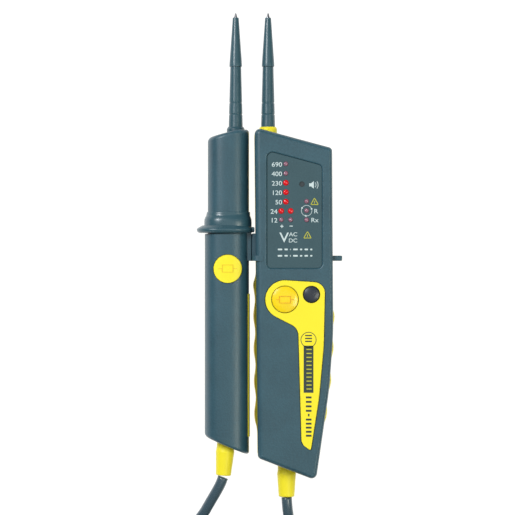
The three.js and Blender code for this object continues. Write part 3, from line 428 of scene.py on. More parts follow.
def block(x0, x1, y0, y1, z0, z1, round=0.0):
    # a box between two corners, its upright edges rounded
    corners = [(x0, y0, round), (x1, y0, round), (x1, y1, round), (x0, y1, round)]
    return sweptSolid("block", filletPath(corners), [(0, z0), (0, z1)])


def post(x, y, radius, low, high, sides=64):
    # an upright cylinder between two heights
    profile = [(0, low), (radius, low), (radius, high), (0, high)]
    return turnedSolid("post", profile, (x, y, 0), sides, "z")


def bore(x, z, radius, low, high, sides=64):
    # a cylinder along the tester, between two places on Y
    profile = [(0, low), (radius, low), (radius, high), (0, high)]
    return turnedSolid("bore", profile, (x, 0, z), sides)


# shared effects, as node groups
def newGroup(name, inputs, outputs):
    # an empty group with named sockets
    tree = bpy.data.node_groups.new(name, "ShaderNodeTree")
    for label, kind, value in inputs:
        socket = tree.interface.new_socket(name=label, in_out="INPUT", socket_type=kind)
        socket.default_value = value
    for label, kind in outputs:
        tree.interface.new_socket(name=label, in_out="OUTPUT", socket_type=kind)
    return tree, tree.nodes.new("NodeGroupInput"), tree.nodes.new("NodeGroupOutput")


def addNode(tree, kind, **settings):
    # one node with its settings
    node = tree.nodes.new(kind)
    for key, value in settings.items():
        setattr(node, key, value)
    return node


def mathNode(tree, operation, first, second, third=None):
    # its inputs are numbers or other nodes' outputs
    node = addNode(tree, "ShaderNodeMath", operation=operation)
    for socket, value in zip(node.inputs, (first, second, third)):
        if isinstance(value, (int, float)):
            socket.default_value = value
        elif value is not None:
            tree.links.new(value, socket)
    return node.outputs[0]


def mixColour(tree, share, first, second):
    # first (1 - share) + second share
    node = addNode(tree, "ShaderNodeMix", data_type="RGBA")
    for socket, value in zip((node.inputs[0], node.inputs[6], node.inputs[7]), (share, first, second)):
        if isinstance(value, (int, float, tuple)):
            socket.default_value = value
        else:
            tree.links.new(value, socket)
    return node.outputs[2]


def noiseNode(tree, place, scale, detail=3.0):
    # even noise, 0 to 1
    node = addNode(tree, "ShaderNodeTexNoise")
    node.inputs["Detail"].default_value = detail
    tree.links.new(place, node.inputs["Vector"])
    if isinstance(scale, (int, float)):
        node.inputs["Scale"].default_value = scale
    else:
        tree.links.new(scale, node.inputs["Scale"])
    return node.outputs["Fac"]


def makeMouldedGrain():
    # fine pebbled grain, cloudy colour, and a sheen that changes with both
    tree, given, made = newGroup(
        "mouldedGrain",
        [("Colour", "NodeSocketColor", (0.1, 0.1, 0.1, 1)), ("Grain Scale", "NodeSocketFloat", 1500.0),
         ("Grain Depth", "NodeSocketFloat", 0.3), ("Mottle", "NodeSocketFloat", 0.1),
         ("Roughness", "NodeSocketFloat", 0.5)],
        [("Colour", "NodeSocketColor"), ("Roughness", "NodeSocketFloat"), ("Normal", "NodeSocketVector")],
    )
    place = addNode(tree, "ShaderNodeTexCoord").outputs["Object"]
    grain = noiseNode(tree, place, given.outputs["Grain Scale"], 2.0)
    cloud = noiseNode(tree, place, 55.0, 4.0)
    fineShare = mathNode(tree, "MULTIPLY", grain, 0.55)
    uneven = mathNode(tree, "ADD", fineShare, mathNode(tree, "MULTIPLY", cloud, 0.45))
    centred = mathNode(tree, "SUBTRACT", uneven, 0.5)
    swing = mathNode(tree, "MULTIPLY", centred, given.outputs["Mottle"])
    gain = mathNode(tree, "MULTIPLY_ADD", swing, 2.0, 1.0)
    scaled = addNode(tree, "ShaderNodeVectorMath", operation="SCALE")
    tree.links.new(given.outputs["Colour"], scaled.inputs[0])
    tree.links.new(gain, scaled.inputs["Scale"])
    tree.links.new(scaled.outputs[0], made.inputs["Colour"])
    rough = mathNode(tree, "MULTIPLY_ADD", centred, 0.35, given.outputs["Roughness"])
    tree.links.new(rough, made.inputs["Roughness"])
    bump = addNode(tree, "ShaderNodeBump")
    bump.inputs["Distance"].default_value = 0.00012
    tree.links.new(given.outputs["Grain Depth"], bump.inputs["Strength"])
    tree.links.new(grain, bump.inputs["Height"])
    tree.links.new(bump.outputs[0], made.inputs["Normal"])
    return tree


def makeEdgeRub():
    # outward edges a little lighter where fingers rub them, broken up by noise
    tree, given, made = newGroup(
        "edgeRub",
        [("Colour", "NodeSocketColor", (0.1, 0.1, 0.1, 1)), ("Rubbed", "NodeSocketColor", (0.3, 0.3, 0.3, 1)),
         ("Amount", "NodeSocketFloat", 0.3)],
        [("Colour", "NodeSocketColor")],
    )
    place = addNode(tree, "ShaderNodeTexCoord").outputs["Object"]
    edge = addNode(tree, "ShaderNodeAttribute", attribute_name="edge").outputs["Fac"]
    broken = mathNode(tree, "MULTIPLY", edge, noiseNode(tree, place, 260.0, 5.0))
    share = mathNode(tree, "MULTIPLY", broken, given.outputs["Amount"])
    mixed = mixColour(tree, share, given.outputs["Colour"], given.outputs["Rubbed"])
    tree.links.new(mixed, made.inputs["Colour"])
    return tree


def makeFineDust():
    # a trace of pale dust on what faces up
    tree, given, made = newGroup(
        "fineDust",
        [("Colour", "NodeSocketColor", (0.1, 0.1, 0.1, 1)), ("Dust", "NodeSocketColor", (0.6, 0.58, 0.54, 1)),
         ("Amount", "NodeSocketFloat", 0.03)],
        [("Colour", "NodeSocketColor")],
    )
    place = addNode(tree, "ShaderNodeTexCoord").outputs["Object"]
    upwards = addNode(tree, "ShaderNodeSeparateXYZ")
    tree.links.new(addNode(tree, "ShaderNodeNewGeometry").outputs["Normal"], upwards.inputs[0])
    facing = mathNode(tree, "MAXIMUM", upwards.outputs["Z"], 0.0)
    patchy = mathNode(tree, "MULTIPLY", facing, noiseNode(tree, place, 120.0, 6.0))
    share = mathNode(tree, "MULTIPLY", patchy, given.outputs["Amount"])
    mixed = mixColour(tree, share, given.outputs["Colour"], given.outputs["Dust"])
    tree.links.new(mixed, made.inputs["Colour"])
    return tree


mouldedGrain, edgeRub, fineDust = makeMouldedGrain(), makeEdgeRub(), makeFineDust()


def placeGroup(tree, group, **values):
    # a shared effect with this material's own values; an underscore stands for a space
    node = addNode(tree, "ShaderNodeGroup", node_tree=group)
    for label, value in values.items():
        socket = node.inputs[label.replace("_", " ")]
        if isinstance(value, bpy.types.NodeSocket):
            tree.links.new(value, socket)
        else:
            socket.default_value = value
    return node


def mouldedFinish(name, colour, roughness, grainScale=1500.0, grainDepth=0.3, mottle=0.1, rub=0.25,
                  dust=0.03, metallic=0.0, coat=0.0, coatRoughness=0.12, specular=0.5, glow=None,
                  glowStrength=0.0):
    # grain, then rubbed edges, then dust, over one shader
    material = bpy.data.materials.new(name)
    material.use_nodes = True
    tree = material.node_tree
    shader = tree.nodes["Principled BSDF"]
    base = linear(*colour)
    rubbed = tuple(min(1.0, c * 1.5 + 0.06) for c in base[:3]) + (1.0,)
    grain = placeGroup(tree, mouldedGrain, Colour=base, Grain_Scale=grainScale, Grain_Depth=grainDepth,
                       Mottle=mottle, Roughness=roughness)
    worn = placeGroup(tree, edgeRub, Colour=grain.outputs["Colour"], Rubbed=rubbed, Amount=rub)
    dusty = placeGroup(tree, fineDust, Colour=worn.outputs["Colour"], Amount=dust)
    tree.links.new(dusty.outputs["Colour"], shader.inputs["Base Color"])
    tree.links.new(grain.outputs["Roughness"], shader.inputs["Roughness"])
    tree.links.new(grain.outputs["Normal"], shader.inputs["Normal"])
    shader.inputs["Metallic"].default_value = metallic
    shader.inputs["Coat Weight"].default_value = coat
    shader.inputs["Coat Roughness"].default_value = coatRoughness
    shader.inputs["Specular IOR Level"].default_value = specular
    if glow:
        shader.inputs["Emission Color"].default_value = linear(*glow)
        shader.inputs["Emission Strength"].default_value = glowStrength
    material.diffuse_color = base
    return material


slateShell = mouldedFinish("slateShell", (43, 82, 96), 0.44, 1050, 0.8, 0.5, dust=0.008, coat=0.4,
                           coatRoughness=0.36, specular=0.4)
slateSmooth = mouldedFinish("slateSmooth", (46, 83, 95), 0.32, 1500, 0.2, 0.2, dust=0.008, coat=0.3,
                            coatRoughness=0.26)
slatePanel = mouldedFinish("slatePanel", (54, 84, 93), 0.46, 1300, 0.3, 0.3, rub=0.1, dust=0.008,
                           specular=0.4)
yellowShell = mouldedFinish("yellowShell", (255, 238, 44), 0.42, 1500, 0.2, 0.08, rub=0.1, dust=0.01,
                            specular=0.35)
amberCap = mouldedFinish("amberCap", (255, 220, 4), 0.24, 1500, 0.05, 0.05, rub=0.1, dust=0.0, coat=0.25)
# painted shade: a darker amber on the load key's raised sign, standing in for the shading that shows the
# moulded emboss
amberSignShade = mouldedFinish("amberSignShade", (236, 172, 8), 0.3, 1500, 0.05, 0.05, rub=0.0, dust=0.0)
# painted shade: a deeper yellow on the handle key's raised sign, standing in for the shading that shows the
# moulded emboss
yellowSignShade = mouldedFinish("yellowSignShade", (240, 205, 30), 0.42, 1500, 0.1, 0.05, rub=0.0, dust=0.0)
torchCap = mouldedFinish("torchCap", (36, 43, 56), 0.36, 1500, 0.1, 0.1, dust=0.004, coat=0.15)
lampLit = mouldedFinish("lampLit", (206, 8, 22), 0.16, 2500, 0.02, 0.05, rub=0.0, dust=0.0, coat=0.3,
                        glow=(235, 8, 20), glowStrength=0.18)
lampClear = mouldedFinish("lampClear", (150, 104, 124), 0.16, 2500, 0.02, 0.1, rub=0.0, dust=0.01, coat=0.6)
lampLens = mouldedFinish("lampLens", (214, 222, 228), 0.1, 2500, 0.02, 0.05, rub=0.0, dust=0.01, coat=0.5)
boardGreen = mouldedFinish("boardGreen", (31, 91, 58), 0.42, 900, 0.1, 0.2)
platedSteel = mouldedFinish("platedSteel", (150, 151, 155), 0.3, 2500, 0.08, 0.1, metallic=1.0)
weightBrass = mouldedFinish("weightBrass", (196, 160, 84), 0.32, 2500, 0.08, 0.1, metallic=1.0)
soundVeil = mouldedFinish("soundVeil", (46, 56, 62), 0.7, 2500, 0.4, 0.3, rub=0.0)
blackPlastic = mouldedFinish("blackPlastic", (30, 32, 34), 0.45, 1800, 0.2, 0.1)
ceramicBody = mouldedFinish("ceramicBody", (232, 229, 218), 0.62, 1600, 0.2, 0.08)
strapRubber = mouldedFinish("strapRubber", (40, 43, 45), 0.6, 1400, 0.3, 0.12)
cellWrap = mouldedFinish("cellWrap", (52, 66, 108), 0.3, 2500, 0.04, 0.06, metallic=0.3)
leadSheath = mouldedFinish("leadSheath", (58, 82, 95), 0.28, 2200, 0.06, 0.08, rub=0.0, coat=0.3)
paleInk = mouldedFinish("paleInk", (206, 222, 224), 0.5, 2500, 0.05, 0.05, rub=0.0, dust=0.0)
yellowInk = mouldedFinish("yellowInk", (196, 194, 44), 0.5, 2500, 0.05, 0.05, rub=0.0, dust=0.0)
darkInk = mouldedFinish("darkInk", (46, 62, 58), 0.5, 2500, 0.05, 0.05, rub=0.0, dust=0.0)
print("finishes ready")


# the lead's solids
def addLead():
    # the visual lead takes the place of the CAD's two runs and its plain coil
    piece, route, length = makeLead()
    piece.data.materials.append(leadSheath)
    piece.data.shade_smooth()
    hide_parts("lead_main_run", "lead_probe_run", "lead_coil")
    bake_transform(piece)
    strap = refined("lead_tie", strapRubber, "main_unit", 0.2, "coilStrap")


addLead()
print("lead ready")


# more shape helpers
def softened(piece, width):
    # a simple solid with its edges rounded by width mm
    bevel = piece.modifiers.new("rounding", "BEVEL")
    bevel.width = width * mm
    bevel.segments = 3
    bevel.limit_method = "ANGLE"
    bevel.angle_limit = math.radians(35)
    return settle(piece)


def flared(low, high, round, drop=None, steps=6):
    # a cutter's profile that widens at the face it cuts, which rounds the edge it leaves there
    return np.vstack([roundedRise(low, high, -round, 0.0, steps, drop), [(-round, high + 2)]])


def flaredPost(x, y, radius, low, high, round, sides=96):
    # a round cutter that widens the same way
    edge = flared(low, high, round)
    profile = np.column_stack([radius - edge[:, 0], edge[:, 1]])
    profile = np.vstack([[(0, low)], profile, [(0, high + 2)]])
    return turnedSolid("opening", profile, (x, y, 0), sides, "z")


def roundedBar(x, y, length, width, low, high, round=0.1, turn=0.0):
    # a flat bar about (x, y), its length turned from +X by turn degrees
    c, s = math.cos(math.radians(turn)), math.sin(math.radians(turn))
    half = ((-length, -width), (length, -width), (length, width), (-length, width))
    corners = [(x + (a * c - b * s) / 2, y + (a * s + b * c) / 2, round) for a, b in half]
    return sweptSolid("bar", filletPath(corners, steps=3), [(0, low), (0, high)])


def ringBand(x, y, inner, outer, low, high, start=0.0, end=360.0, steps=48):
    # an arc of a flat ring: an outer arc run one way and an inner one back
    angle = np.radians(np.linspace(start, end, steps))
    arc = np.stack([np.cos(angle), np.sin(angle)], 1)
    if end - start < 360:
        path = np.vstack([arc * outer, arc[::-1] * inner]) + (x, y)
        return sweptSolid("arc", path, [(0, low), (0, high)])
    profile = [(inner, low), (outer, low), (outer, high), (inner, high), (inner, low)]
    return turnedSolid("ring", profile, (x, y, 0), steps, "z")


def gathered(name, pieces):
    # several small solids as one piece
    work = bmesh.new()
    for piece in pieces:
        work.from_mesh(piece.data)
        bpy.data.objects.remove(piece)
    mesh = bpy.data.meshes.new(name)
    work.to_mesh(mesh)
    work.free()
    made = bpy.data.objects.new(name, mesh)
    bpy.context.collection.objects.link(made)
    return made


def roundColumn(name, stations, sides=112, power=2.6, axisHeight=18.0):
    # P(i, j) = (x + w s(cos a), y + lean w s(cos a), z + d s(sin a)), with s(v) = sign(v) |v|^(2 / power);
    # a station i is (y, x, w, d, lean)
    y, x, width, depth, lean = (column[:, None] for column in np.asarray(stations, float).T)
    angle = np.linspace(0, 2 * math.pi, sides, endpoint=False)[None]
    cosine, sine = np.cos(angle), np.sin(angle)
    across = width * np.sign(cosine) * np.abs(cosine) ** (2 / power)
    up = depth * np.sign(sine) * np.abs(sine) ** (2 / power)
    # a slanted end levels off towards its high side: y drops by ease((across / w - 0.5) / 0.5) mm
    level = np.where(lean > 0, ease((across / width - 0.5) / 0.5), 0)
    points = np.stack([x + across, y + lean * across - level, axisHeight + up], -1)
    return makeMesh(name, points, cappedFaces(len(points), sides))


# main unit's shells
mainBody = {
    "corners": [
        (-8.3, -118.38, 2.8), (25.6, -131.5, 3.2), (33.4, -77.94, 200),
        (35.7, -46.01, 200), (35.0, 62.34, 2.4), (-10.2, 74.5, 3.2),
    ],
    "wall": 2.2,
    "front": 35.0,
    "parting": 15.0,
    "gap": 0.3,
    "ceiling": 31.3,
    "edgeLeft": 3.6,  # how far the front's rounded edge reaches in from each side
    "edgeRight": 2.0,
    "edgeTop": 2.4,
    "edgeBottom": 2.0,
    "edgeDepth": 3.0,
    "lip": 1.25,  # the back shell's lip inside the front shell, in from the side
    "lipHeight": 1.6,
    "screws": [(29.0, 40.0), (-5.0, 5.0), (22.01, -109.4)],
    "screwHole": 1.6,
    "screwHead": 3.0,
    "bossRadius": (3.4, 3.5),  # in the front shell, in the back shell
    "insideBack": 1.1,  # where what stands in the back shell starts, within its wall
}
grip = {
    "pitch": 19.3,
    "crest": -36.0,
    "low": 1.4,
    "left": (1.2, 0.5, 1.35),  # swell, amplitude, pitches from the crest to the start
    "right": (0.8, 0.7, 0.45),
    "fade": 8.3,
    "end": 3.6,  # pitches from the crest to where the waves end
}
tub = {
    "x": 11.51,
    "half": 11.4,
    "low": -99.4,
    "high": -49.9,
    "ceiling": 13.5,
    "wall": 1.4,
    "lockY": -105.3,
    "lockBoss": 3.6,
    "lockHole": 2.05,
    "tongueHalf": 5.0,
    "tongueReach": 9.3,
    "tongueTop": 2.4,
}
rail = {
    "left": -11.76,
    "right": -8.6,
    "low": -3.5,
    "high": 12.6,
    "bottom": 15.7,
    "top": 25.2,
    "stem": 3.8,
    "stemReach": (1.7, 0.6),  # beyond the rail's left side, and into it
    "head": 7.2,
    "headReach": (2.8, 1.6),
}
guardTab = {"left": 33.4, "right": 40.9, "low": -3.45, "high": -0.4, "bottom": 16.0, "top": 31.0}
guardRib = {"proud": 2.3, "low": -3.5, "high": -0.4, "right": -5.1, "bottom": 15.7, "top": 35.4}
recess = {
    "corners": [(-2.9, -7.6, 2.4), (29.0, -7.6, 2.5), (29.0, 52.06, 2.8), (-2.9, 60.64, 3.0)],
    "floor": 33.1,
    "edge": 1.0,
    "slope": 1.15,
}
inlay = {
    "corners": [
        (17.0, -110.2, 6.0), (22.6, -114.2, 0.9), (27.4, -83.6, 90), (30.2, -52.8, 120),
        (31.0, -16.1, 6.6), (-4.1, -13.9, 11.6), (-4.1, -33.07, 11.6), (15.1, -42.7, 7.0),
    ],
    "pocket": 33.8,
    "low": 34.1,
    "high": 35.3,
    "gap": 0.3,
}
ribs = {
    "first": -27.0,
    "last": -107.0,
    "pitch": 2.2,
    "width": 1.2,
    "clear": 0.75,
    "foot": 34.6,
    "top": 35.13,
    "leftLine": ([16.1, 52.8, 83.6, 114.0], [31.0, 30.2, 27.4, 22.6]),  # -y, and x there
    "rightLine": ([46.0, 77.9, 131.5], [35.7, 33.4, 25.6]),
}
lamps = {
    "lit": [(8.0, 42.0), (8.0, 36.5), (8.0, 31.0), (5.3, 25.6), (10.8, 25.6)],
    "unlit": [(8.0, 53.0), (8.0, 47.5), (5.3, 20.5), (10.8, 20.5), (20.1, 31.2), (20.1, 25.8), (20.1, 20.4)],
    "litRadius": 1.66,
    "clearRadius": 1.42,
    "top": 34.9,
    "crown": 1.15,
    "foot": 25.9,  # on the board
    "flange": 26.8,
}
loadKey = {"x": 7.5, "y": -25.9, "radius": 7.65, "top": 36.4, "crown": 1.1, "stem": 31.9, "rim": 31.0}
torchKey = {"x": 22.9, "y": -23.0, "radius": 4.7, "top": 36.2, "crown": 0.8, "stem": 31.5, "rim": 31.0}
sound = {"x": 17.4, "y": 41.2, "radius": 1.6}
openings = {"slack": 0.35, "collar": 5.43, "relief": 5.45, "torch": 2.8, "lamp": 1.8}


def edgeReach(path, extra=0.0):
    # how far the rounded front edge reaches in, by which way each point of the outline faces
    normal = outwardNormals(path)
    sides = np.where(normal[:, 0] < 0, mainBody["edgeLeft"], mainBody["edgeRight"])
    ends = np.where(normal[:, 1] > 0, mainBody["edgeTop"], mainBody["edgeBottom"])
    return sides * normal[:, 0] ** 2 + ends * normal[:, 1] ** 2 + extra


def mainHoles():
    # through both shells: the probe's collar above, the strain relief below
    return [
        bore(-2.3, 18.0, openings["collar"], 60.0, 95.2, 96),
        bore(8.6, 15.0, openings["relief"], -141.5, -115.9, 96),
    ]


def dockRail():
    # the rail beside the guard, with the tongue that the handle's shoe slides over
    r = rail
    middle = (r["bottom"] + r["top"]) / 2
    foot = softened(block(r["left"], r["right"], r["low"], r["high"], r["bottom"], r["top"]), 0.5)
    out, within = r["stemReach"]
    stem = block(r["left"] - out, r["left"] + within, r["low"], r["high"] - 0.3,
                 middle - r["stem"] / 2, middle + r["stem"] / 2)
    out, back = r["headReach"]
    head = block(r["left"] - out, r["left"] - back, r["low"], r["high"] - 0.3,
                 middle - r["head"] / 2, middle + r["head"] / 2)
    return [foot, stem, softened(head, 0.25)]


def guardPieces():
    # a rounded tab on the right, and on the left a slice of the body's own form set out by "proud"
    g, r = guardTab, guardRib
    tab = softened(block(g["left"], g["right"], g["low"], g["high"], g["bottom"], g["top"], 0.6), 1.35)
    outline = evenPath(filletPath(mainBody["corners"], -r["proud"], steps=14), 1.0)
    rise = roundedRise(r["bottom"], r["top"], 1.0, 0.0, 9, mainBody["edgeDepth"] + 0.4)
    rib = sweptSolid("rib", outline, rise, edgeReach(outline, 0.6))
    rib = shaped(rib, kept=[block(-60, r["right"], r["low"], r["high"], 15.0, 60.0)])
    return [tab, softened(rib, 0.55)]


def bandRibs():
    # low cross ribs on the band between the inlay and the right side, each from one line to the other
    y = np.arange(ribs["first"], ribs["last"], -ribs["pitch"])
    left = np.interp(-y, *ribs["leftLine"]) + ribs["clear"]
    right = np.interp(-y, *ribs["rightLine"]) - mainBody["edgeRight"] + 0.5
    bars = [roundedBar((a + b) / 2, at, b - a, ribs["width"], ribs["foot"], ribs["top"], 0.3)
            for a, b, at in zip(left, right, y)]
    return gathered("ribs", bars)


def makeMainFront():
    # the outline carried up a rounded wall, hollowed, with bosses, openings and the recess cut in
    b = mainBody
    outline = evenPath(filletPath(b["corners"], steps=14), 1.0)
    rise = roundedRise(b["parting"] + b["gap"] / 2, b["front"], 1.0, 0.08, 9, b["edgeDepth"])
    shell = sweptSolid("mainFront", outline, rise, edgeReach(outline))
    hollow = sweptSolid("hollow", filletPath(b["corners"], b["wall"]), [(0, 10), (0, b["ceiling"])])
    seat = filletPath(b["corners"], b["lip"] - 0.3)
    rebate = sweptSolid("rebate", seat, [(0, 10), (0, b["parting"] + b["lipHeight"] + 0.3)])
    shaped(shell, joined=guardPieces() + dockRail() + [bandRibs()])
    shaped(shell, cut=[hollow, rebate])
    # a boss above the board stops over it, the one below the battery bay reaches the parting
    feet = [26.0 if y > tub["high"] else 15.15 for x, y in b["screws"]]
    shaped(shell, joined=[post(x, y, b["bossRadius"][0], foot, b["ceiling"] + 0.5)
                          for (x, y), foot in zip(b["screws"], feet)])
    rim = flared(recess["floor"], b["front"], recess["edge"], recess["slope"])
    cuts = [sweptSolid("recess", filletPath(recess["corners"], steps=14), rim)]
    around = filletPath(inlay["corners"], -inlay["gap"], steps=20)
    cuts.append(sweptSolid("pocket", around, flared(inlay["pocket"], b["front"], 0.25)))
    cuts += [post(k["x"], k["y"], k["radius"] + openings["slack"], 15, 40, 96) for k in (loadKey, torchKey)]
    cuts += [post(x, y, openings["lamp"], 15, 40, 32) for x, y in lamps["lit"] + lamps["unlit"]]
    cuts += [post(x, y, b["screwHole"], 14, 25.6, 32) for x, y in b["screws"]]
    cuts.append(post(sound["x"], sound["y"], sound["radius"], 20, 40, 48))
    cuts.append(bore(13.7, 23.0, openings["torch"], 55.0, 80.0, 64))
    shaped(shell, cut=cuts + mainHoles())
    return finished(shell, slateShell, "main_unit", ["main_front_shell"])


def gripWave(outline, z):
    # proud of the side by swell + amplitude cos(2 pi (y - crest) / pitch), faded in and out along y and z
    normal = outwardNormals(outline)
    total = np.zeros((len(z), len(outline)))
    rise = ease((z - grip["low"]) / 1.3) * (1 - 0.35 * ease((z - 13.4) / 1.4))
    for side, (swell, amplitude, first) in ((-1, grip["left"]), (1, grip["right"])):
        y = outline[:, 1]
        start, end = grip["crest"] + grip["pitch"] * first, grip["crest"] - grip["pitch"] * grip["end"]
        fade = ease((start - y) / grip["fade"]) * ease((y - end) / grip["fade"])
        wave = swell + amplitude * np.cos(2 * math.pi * (y - grip["crest"]) / grip["pitch"])
        total += rise[:, None] * (fade * wave * (side * normal[:, 0] > 0.9))[None]
    return total


def makeMainBack():
    # P(i, j) = path(j) + normal(j) (wave(i, j) - inset(i)), at height(i), with flat ends
    b = mainBody
    corners = [(x - 0.2, y + (0.3 if i < 2 else -0.3), r) for i, (x, y, r) in enumerate(b["corners"])]
    outline = evenPath(filletPath(corners, steps=14), 0.8)
    rise = roundedRise(0.0, b["parting"] - b["gap"] / 2, 0.15, 1.6, 8)
    rise = np.vstack([rise[:8], np.column_stack([np.zeros(9), np.linspace(2.0, 14.2, 9)]), rise[8:]])
    offset = gripWave(outline, rise[:, 1]) - rise[:, 0, None]
    flat = outline[None] + outwardNormals(outline)[None] * offset[..., None]
    height = np.broadcast_to(rise[:, 1, None, None], (*offset.shape, 1))
    shell = makeMesh("mainBack", np.concatenate([flat, height], 2), cappedFaces(*offset.shape))
    lip = sweptSolid("lip", filletPath(b["corners"], b["lip"]), [(0, 12), (0, b["parting"] + b["lipHeight"])])
    hollow = sweptSolid("hollow", filletPath(corners, b["wall"] + 0.1), [(0, b["wall"]), (0, 20)])
    shaped(shell, joined=[lip])
    shaped(shell, cut=[hollow])
    # the battery bay's walls, the lock's boss and the screws' bosses, then what is cut out of them
    t, foot = tub, b["insideBack"]
    outside = t["half"] + t["wall"]
    joined = [block(t["x"] - outside, t["x"] + outside, t["low"] - t["wall"], t["high"] + t["wall"],
                    foot, t["ceiling"] + t["wall"])]
    joined.append(post(t["x"], t["lockY"], t["lockBoss"], foot, 8.0))
    joined += [post(x, y, b["bossRadius"][1], foot, 14.85) for x, y in b["screws"]]
    shaped(shell, joined=joined)
    cuts = [block(t["x"] - t["half"], t["x"] + t["half"], t["low"], t["high"], -1, t["ceiling"], 0.6)]
    cuts.append(block(t["x"] - t["tongueHalf"], t["x"] + t["tongueHalf"],
                      t["low"] - t["tongueReach"], t["low"] + 1, -1, t["tongueTop"]))
    cuts.append(post(t["x"], t["lockY"], t["lockHole"], -1, 9))
    cuts += [post(x, y, b["screwHole"], -1, 15) for x, y in b["screws"]]
    cuts += [post(x, y, b["screwHead"], -1, 2.6) for x, y in b["screws"]]
    shaped(shell, cut=cuts + mainHoles())
    return finished(shell, yellowShell, "main_unit", ["main_back_shell"])


makeMainFront()
makeMainBack()
print("main shells ready")


# main unit's front: inlay, panel, lamps, buttons
def makeInlay():
    # a plate with a rounded rim and an opening for each button
    outline = filletPath(inlay["corners"], 0.12, steps=24)
    plate = sweptSolid("inlay", outline, roundedRise(inlay["low"], inlay["high"], 0.35, 0.0, 6))
    shaped(plate, cut=[flaredPost(k["x"], k["y"], k["radius"] + 0.4, 30, inlay["high"], 0.22)
                       for k in (loadKey, torchKey)])
    return finished(plate, yellowShell, "main_unit", ["control_inlay"])


panel = {
    "low": 33.4,
    "high": 33.9,
    "lampSlack": 0.04,
    "veil": [(0, 33.12), (2.4, 33.12), (2.4, 33.36), (1.5, 33.36), (0, 33.3)],  # radius and height
}


def makePanel():
    # a flat plate with round openings, and under the sound opening a thin round veil
    outline = filletPath(recess["corners"], 0.06, steps=14)
    top, slack = panel["high"], panel["lampSlack"]
    plate = sweptSolid("displayFace", outline, [(0, panel["low"]), (0, top)])
    cuts = [flaredPost(x, y, lamps["litRadius"] + slack, 30, top, 0.1, 40) for x, y in lamps["lit"]]
    cuts += [flaredPost(x, y, lamps["clearRadius"] + slack, 30, top, 0.1, 40) for x, y in lamps["unlit"]]
    cuts.append(flaredPost(sound["x"], sound["y"], sound["radius"], 30, top, 0.2, 48))
    shaped(plate, cut=cuts)
    veil = turnedSolid("soundVeil", panel["veil"], (sound["x"], sound["y"], 0), 48, "z")
    finished(veil, soundVeil, "main_unit")
    return finished(plate, slatePanel, "main_unit", ["display_panel"])


def makeLamps(name, places, r, material, nodes):
    # each lamp: a flange on the board, a barrel, and a dome with radius = r sin a and
    # height = top - crown (1 - cos a)
    foot, flange = lamps["foot"], lamps["flange"]
    angle = np.linspace(math.pi / 2, 0, 9)
    dome = np.column_stack([r * np.sin(angle), lamps["top"] - lamps["crown"] * (1 - np.cos(angle))])
    profile = np.vstack([[(0, foot), (r + 0.4, foot), (r + 0.4, flange), (r, flange)], dome])
    piece = gathered(name, [turnedSolid("lamp", profile, (x, y, 0), 40, "z") for x, y in places])
    return finished(piece, material, "main_unit", nodes)


def crowned(radius, top, crown, edge, lift=0.0):
    # a cap's outside from its edge to its middle: height = top - crown (r / radius)^2, and the rim
    # is rounded by edge
    r = np.linspace(1, 0, 12)[1:] * radius
    dome = np.column_stack([r, top + lift - crown * (r / radius) ** 2])
    corner = [(radius, top + lift - crown - 3), (radius, top + lift - crown)]
    points = np.vstack([corner, dome])
    radii = [0, edge] + [0] * len(dome)
    return softLine(points, radii, 8)


def loadMark(x, y, width, height, reach, low, high):
    # a resistor's sign: a rectangle's outline with a lead out of each end
    line = 0.34
    out = width / 2 + reach / 2 + 0.1
    bars = [roundedBar(x, y + side * height / 2, width + line, line, low, high) for side in (-1, 1)]
    bars += [roundedBar(x + side * width / 2, y, line, height - line, low, high, 0.05) for side in (-1, 1)]
    bars += [roundedBar(x + side * out, y, reach, line, low, high) for side in (-1, 1)]
    return shaped(bars[0], joined=bars[1:])


keyWall = {"side": 1.2, "top": 1.6, "stem": 2.0, "rim": 1.3, "rimDepth": 1.2}


def makeKey(name, key, edge, material, body, node, mark=None):
    # a hollow cap on a stem, turned about +Z; its sign is what a band along the crown keeps of flat bars,
    # coloured a darker amber that is painted shade
    r, top, crown = key["radius"], key["top"], key["crown"]
    centre = (key["x"], key["y"], 0)
    skirt, roof, foot = r - keyWall["side"], top - crown - keyWall["top"], key["rim"] - keyWall["rimDepth"]
    stem, wide = keyWall["stem"], r + keyWall["rim"]
    inside = [(0, key["stem"]), (stem, key["stem"]), (stem, roof), (skirt, roof), (skirt, foot)]
    rim = [(wide, foot), (wide, key["rim"]), (r, key["rim"])]
    outside = crowned(r, top, crown, edge)
    cap = turnedSolid(name, np.vstack([inside, rim, outside[1:]]), centre, 128, "z")
    if mark:
        over = crowned(r + 0.02, top, crown, edge, mark["proud"])
        over = np.vstack([[(0, top - crown - 1)], [(r, top - crown - 1)], over[1:]])
        under = np.vstack([over[:1], over[1:] - [0, mark["proud"] + 0.02]])
        sign = loadMark(key["x"], key["y"] + mark["shift"], mark["width"], mark["height"], mark["reach"],
                        top - crown - 0.9, top + 3)
        shaped(sign, kept=[turnedSolid("over", over, centre, 128, "z")])
        shaped(sign, cut=[turnedSolid("under", under, centre, 128, "z")])
        sign.name = name + "Sign"
        # the sign's darker amber is painted shade round the emboss, not a colour of its own
        finished(sign, amberSignShade, body)
    return finished(cap, material, body, [node])


loadSign = {"width": 6.4, "height": 3.9, "reach": 1.9, "proud": 0.3, "shift": -0.1}

makeInlay()
makePanel()
makeLamps("litLamps", lamps["lit"], lamps["litRadius"], lampLit,
          ["led_230", "led_120", "led_50", "led_24_plus", "led_24_minus"])
makeLamps("clearLamps", lamps["unlit"], lamps["clearRadius"], lampClear,
          ["led_690", "led_400", "led_12_plus", "led_12_minus", "led_phase", "led_rotation",
           "led_continuity"])
makeKey("loadKey", loadKey, 0.55, amberCap, "main_load_button", "main_load_button", loadSign)
makeKey("torchKey", torchKey, 0.8, torchCap, "torch_button", "torch_button")
print("front fittings ready")


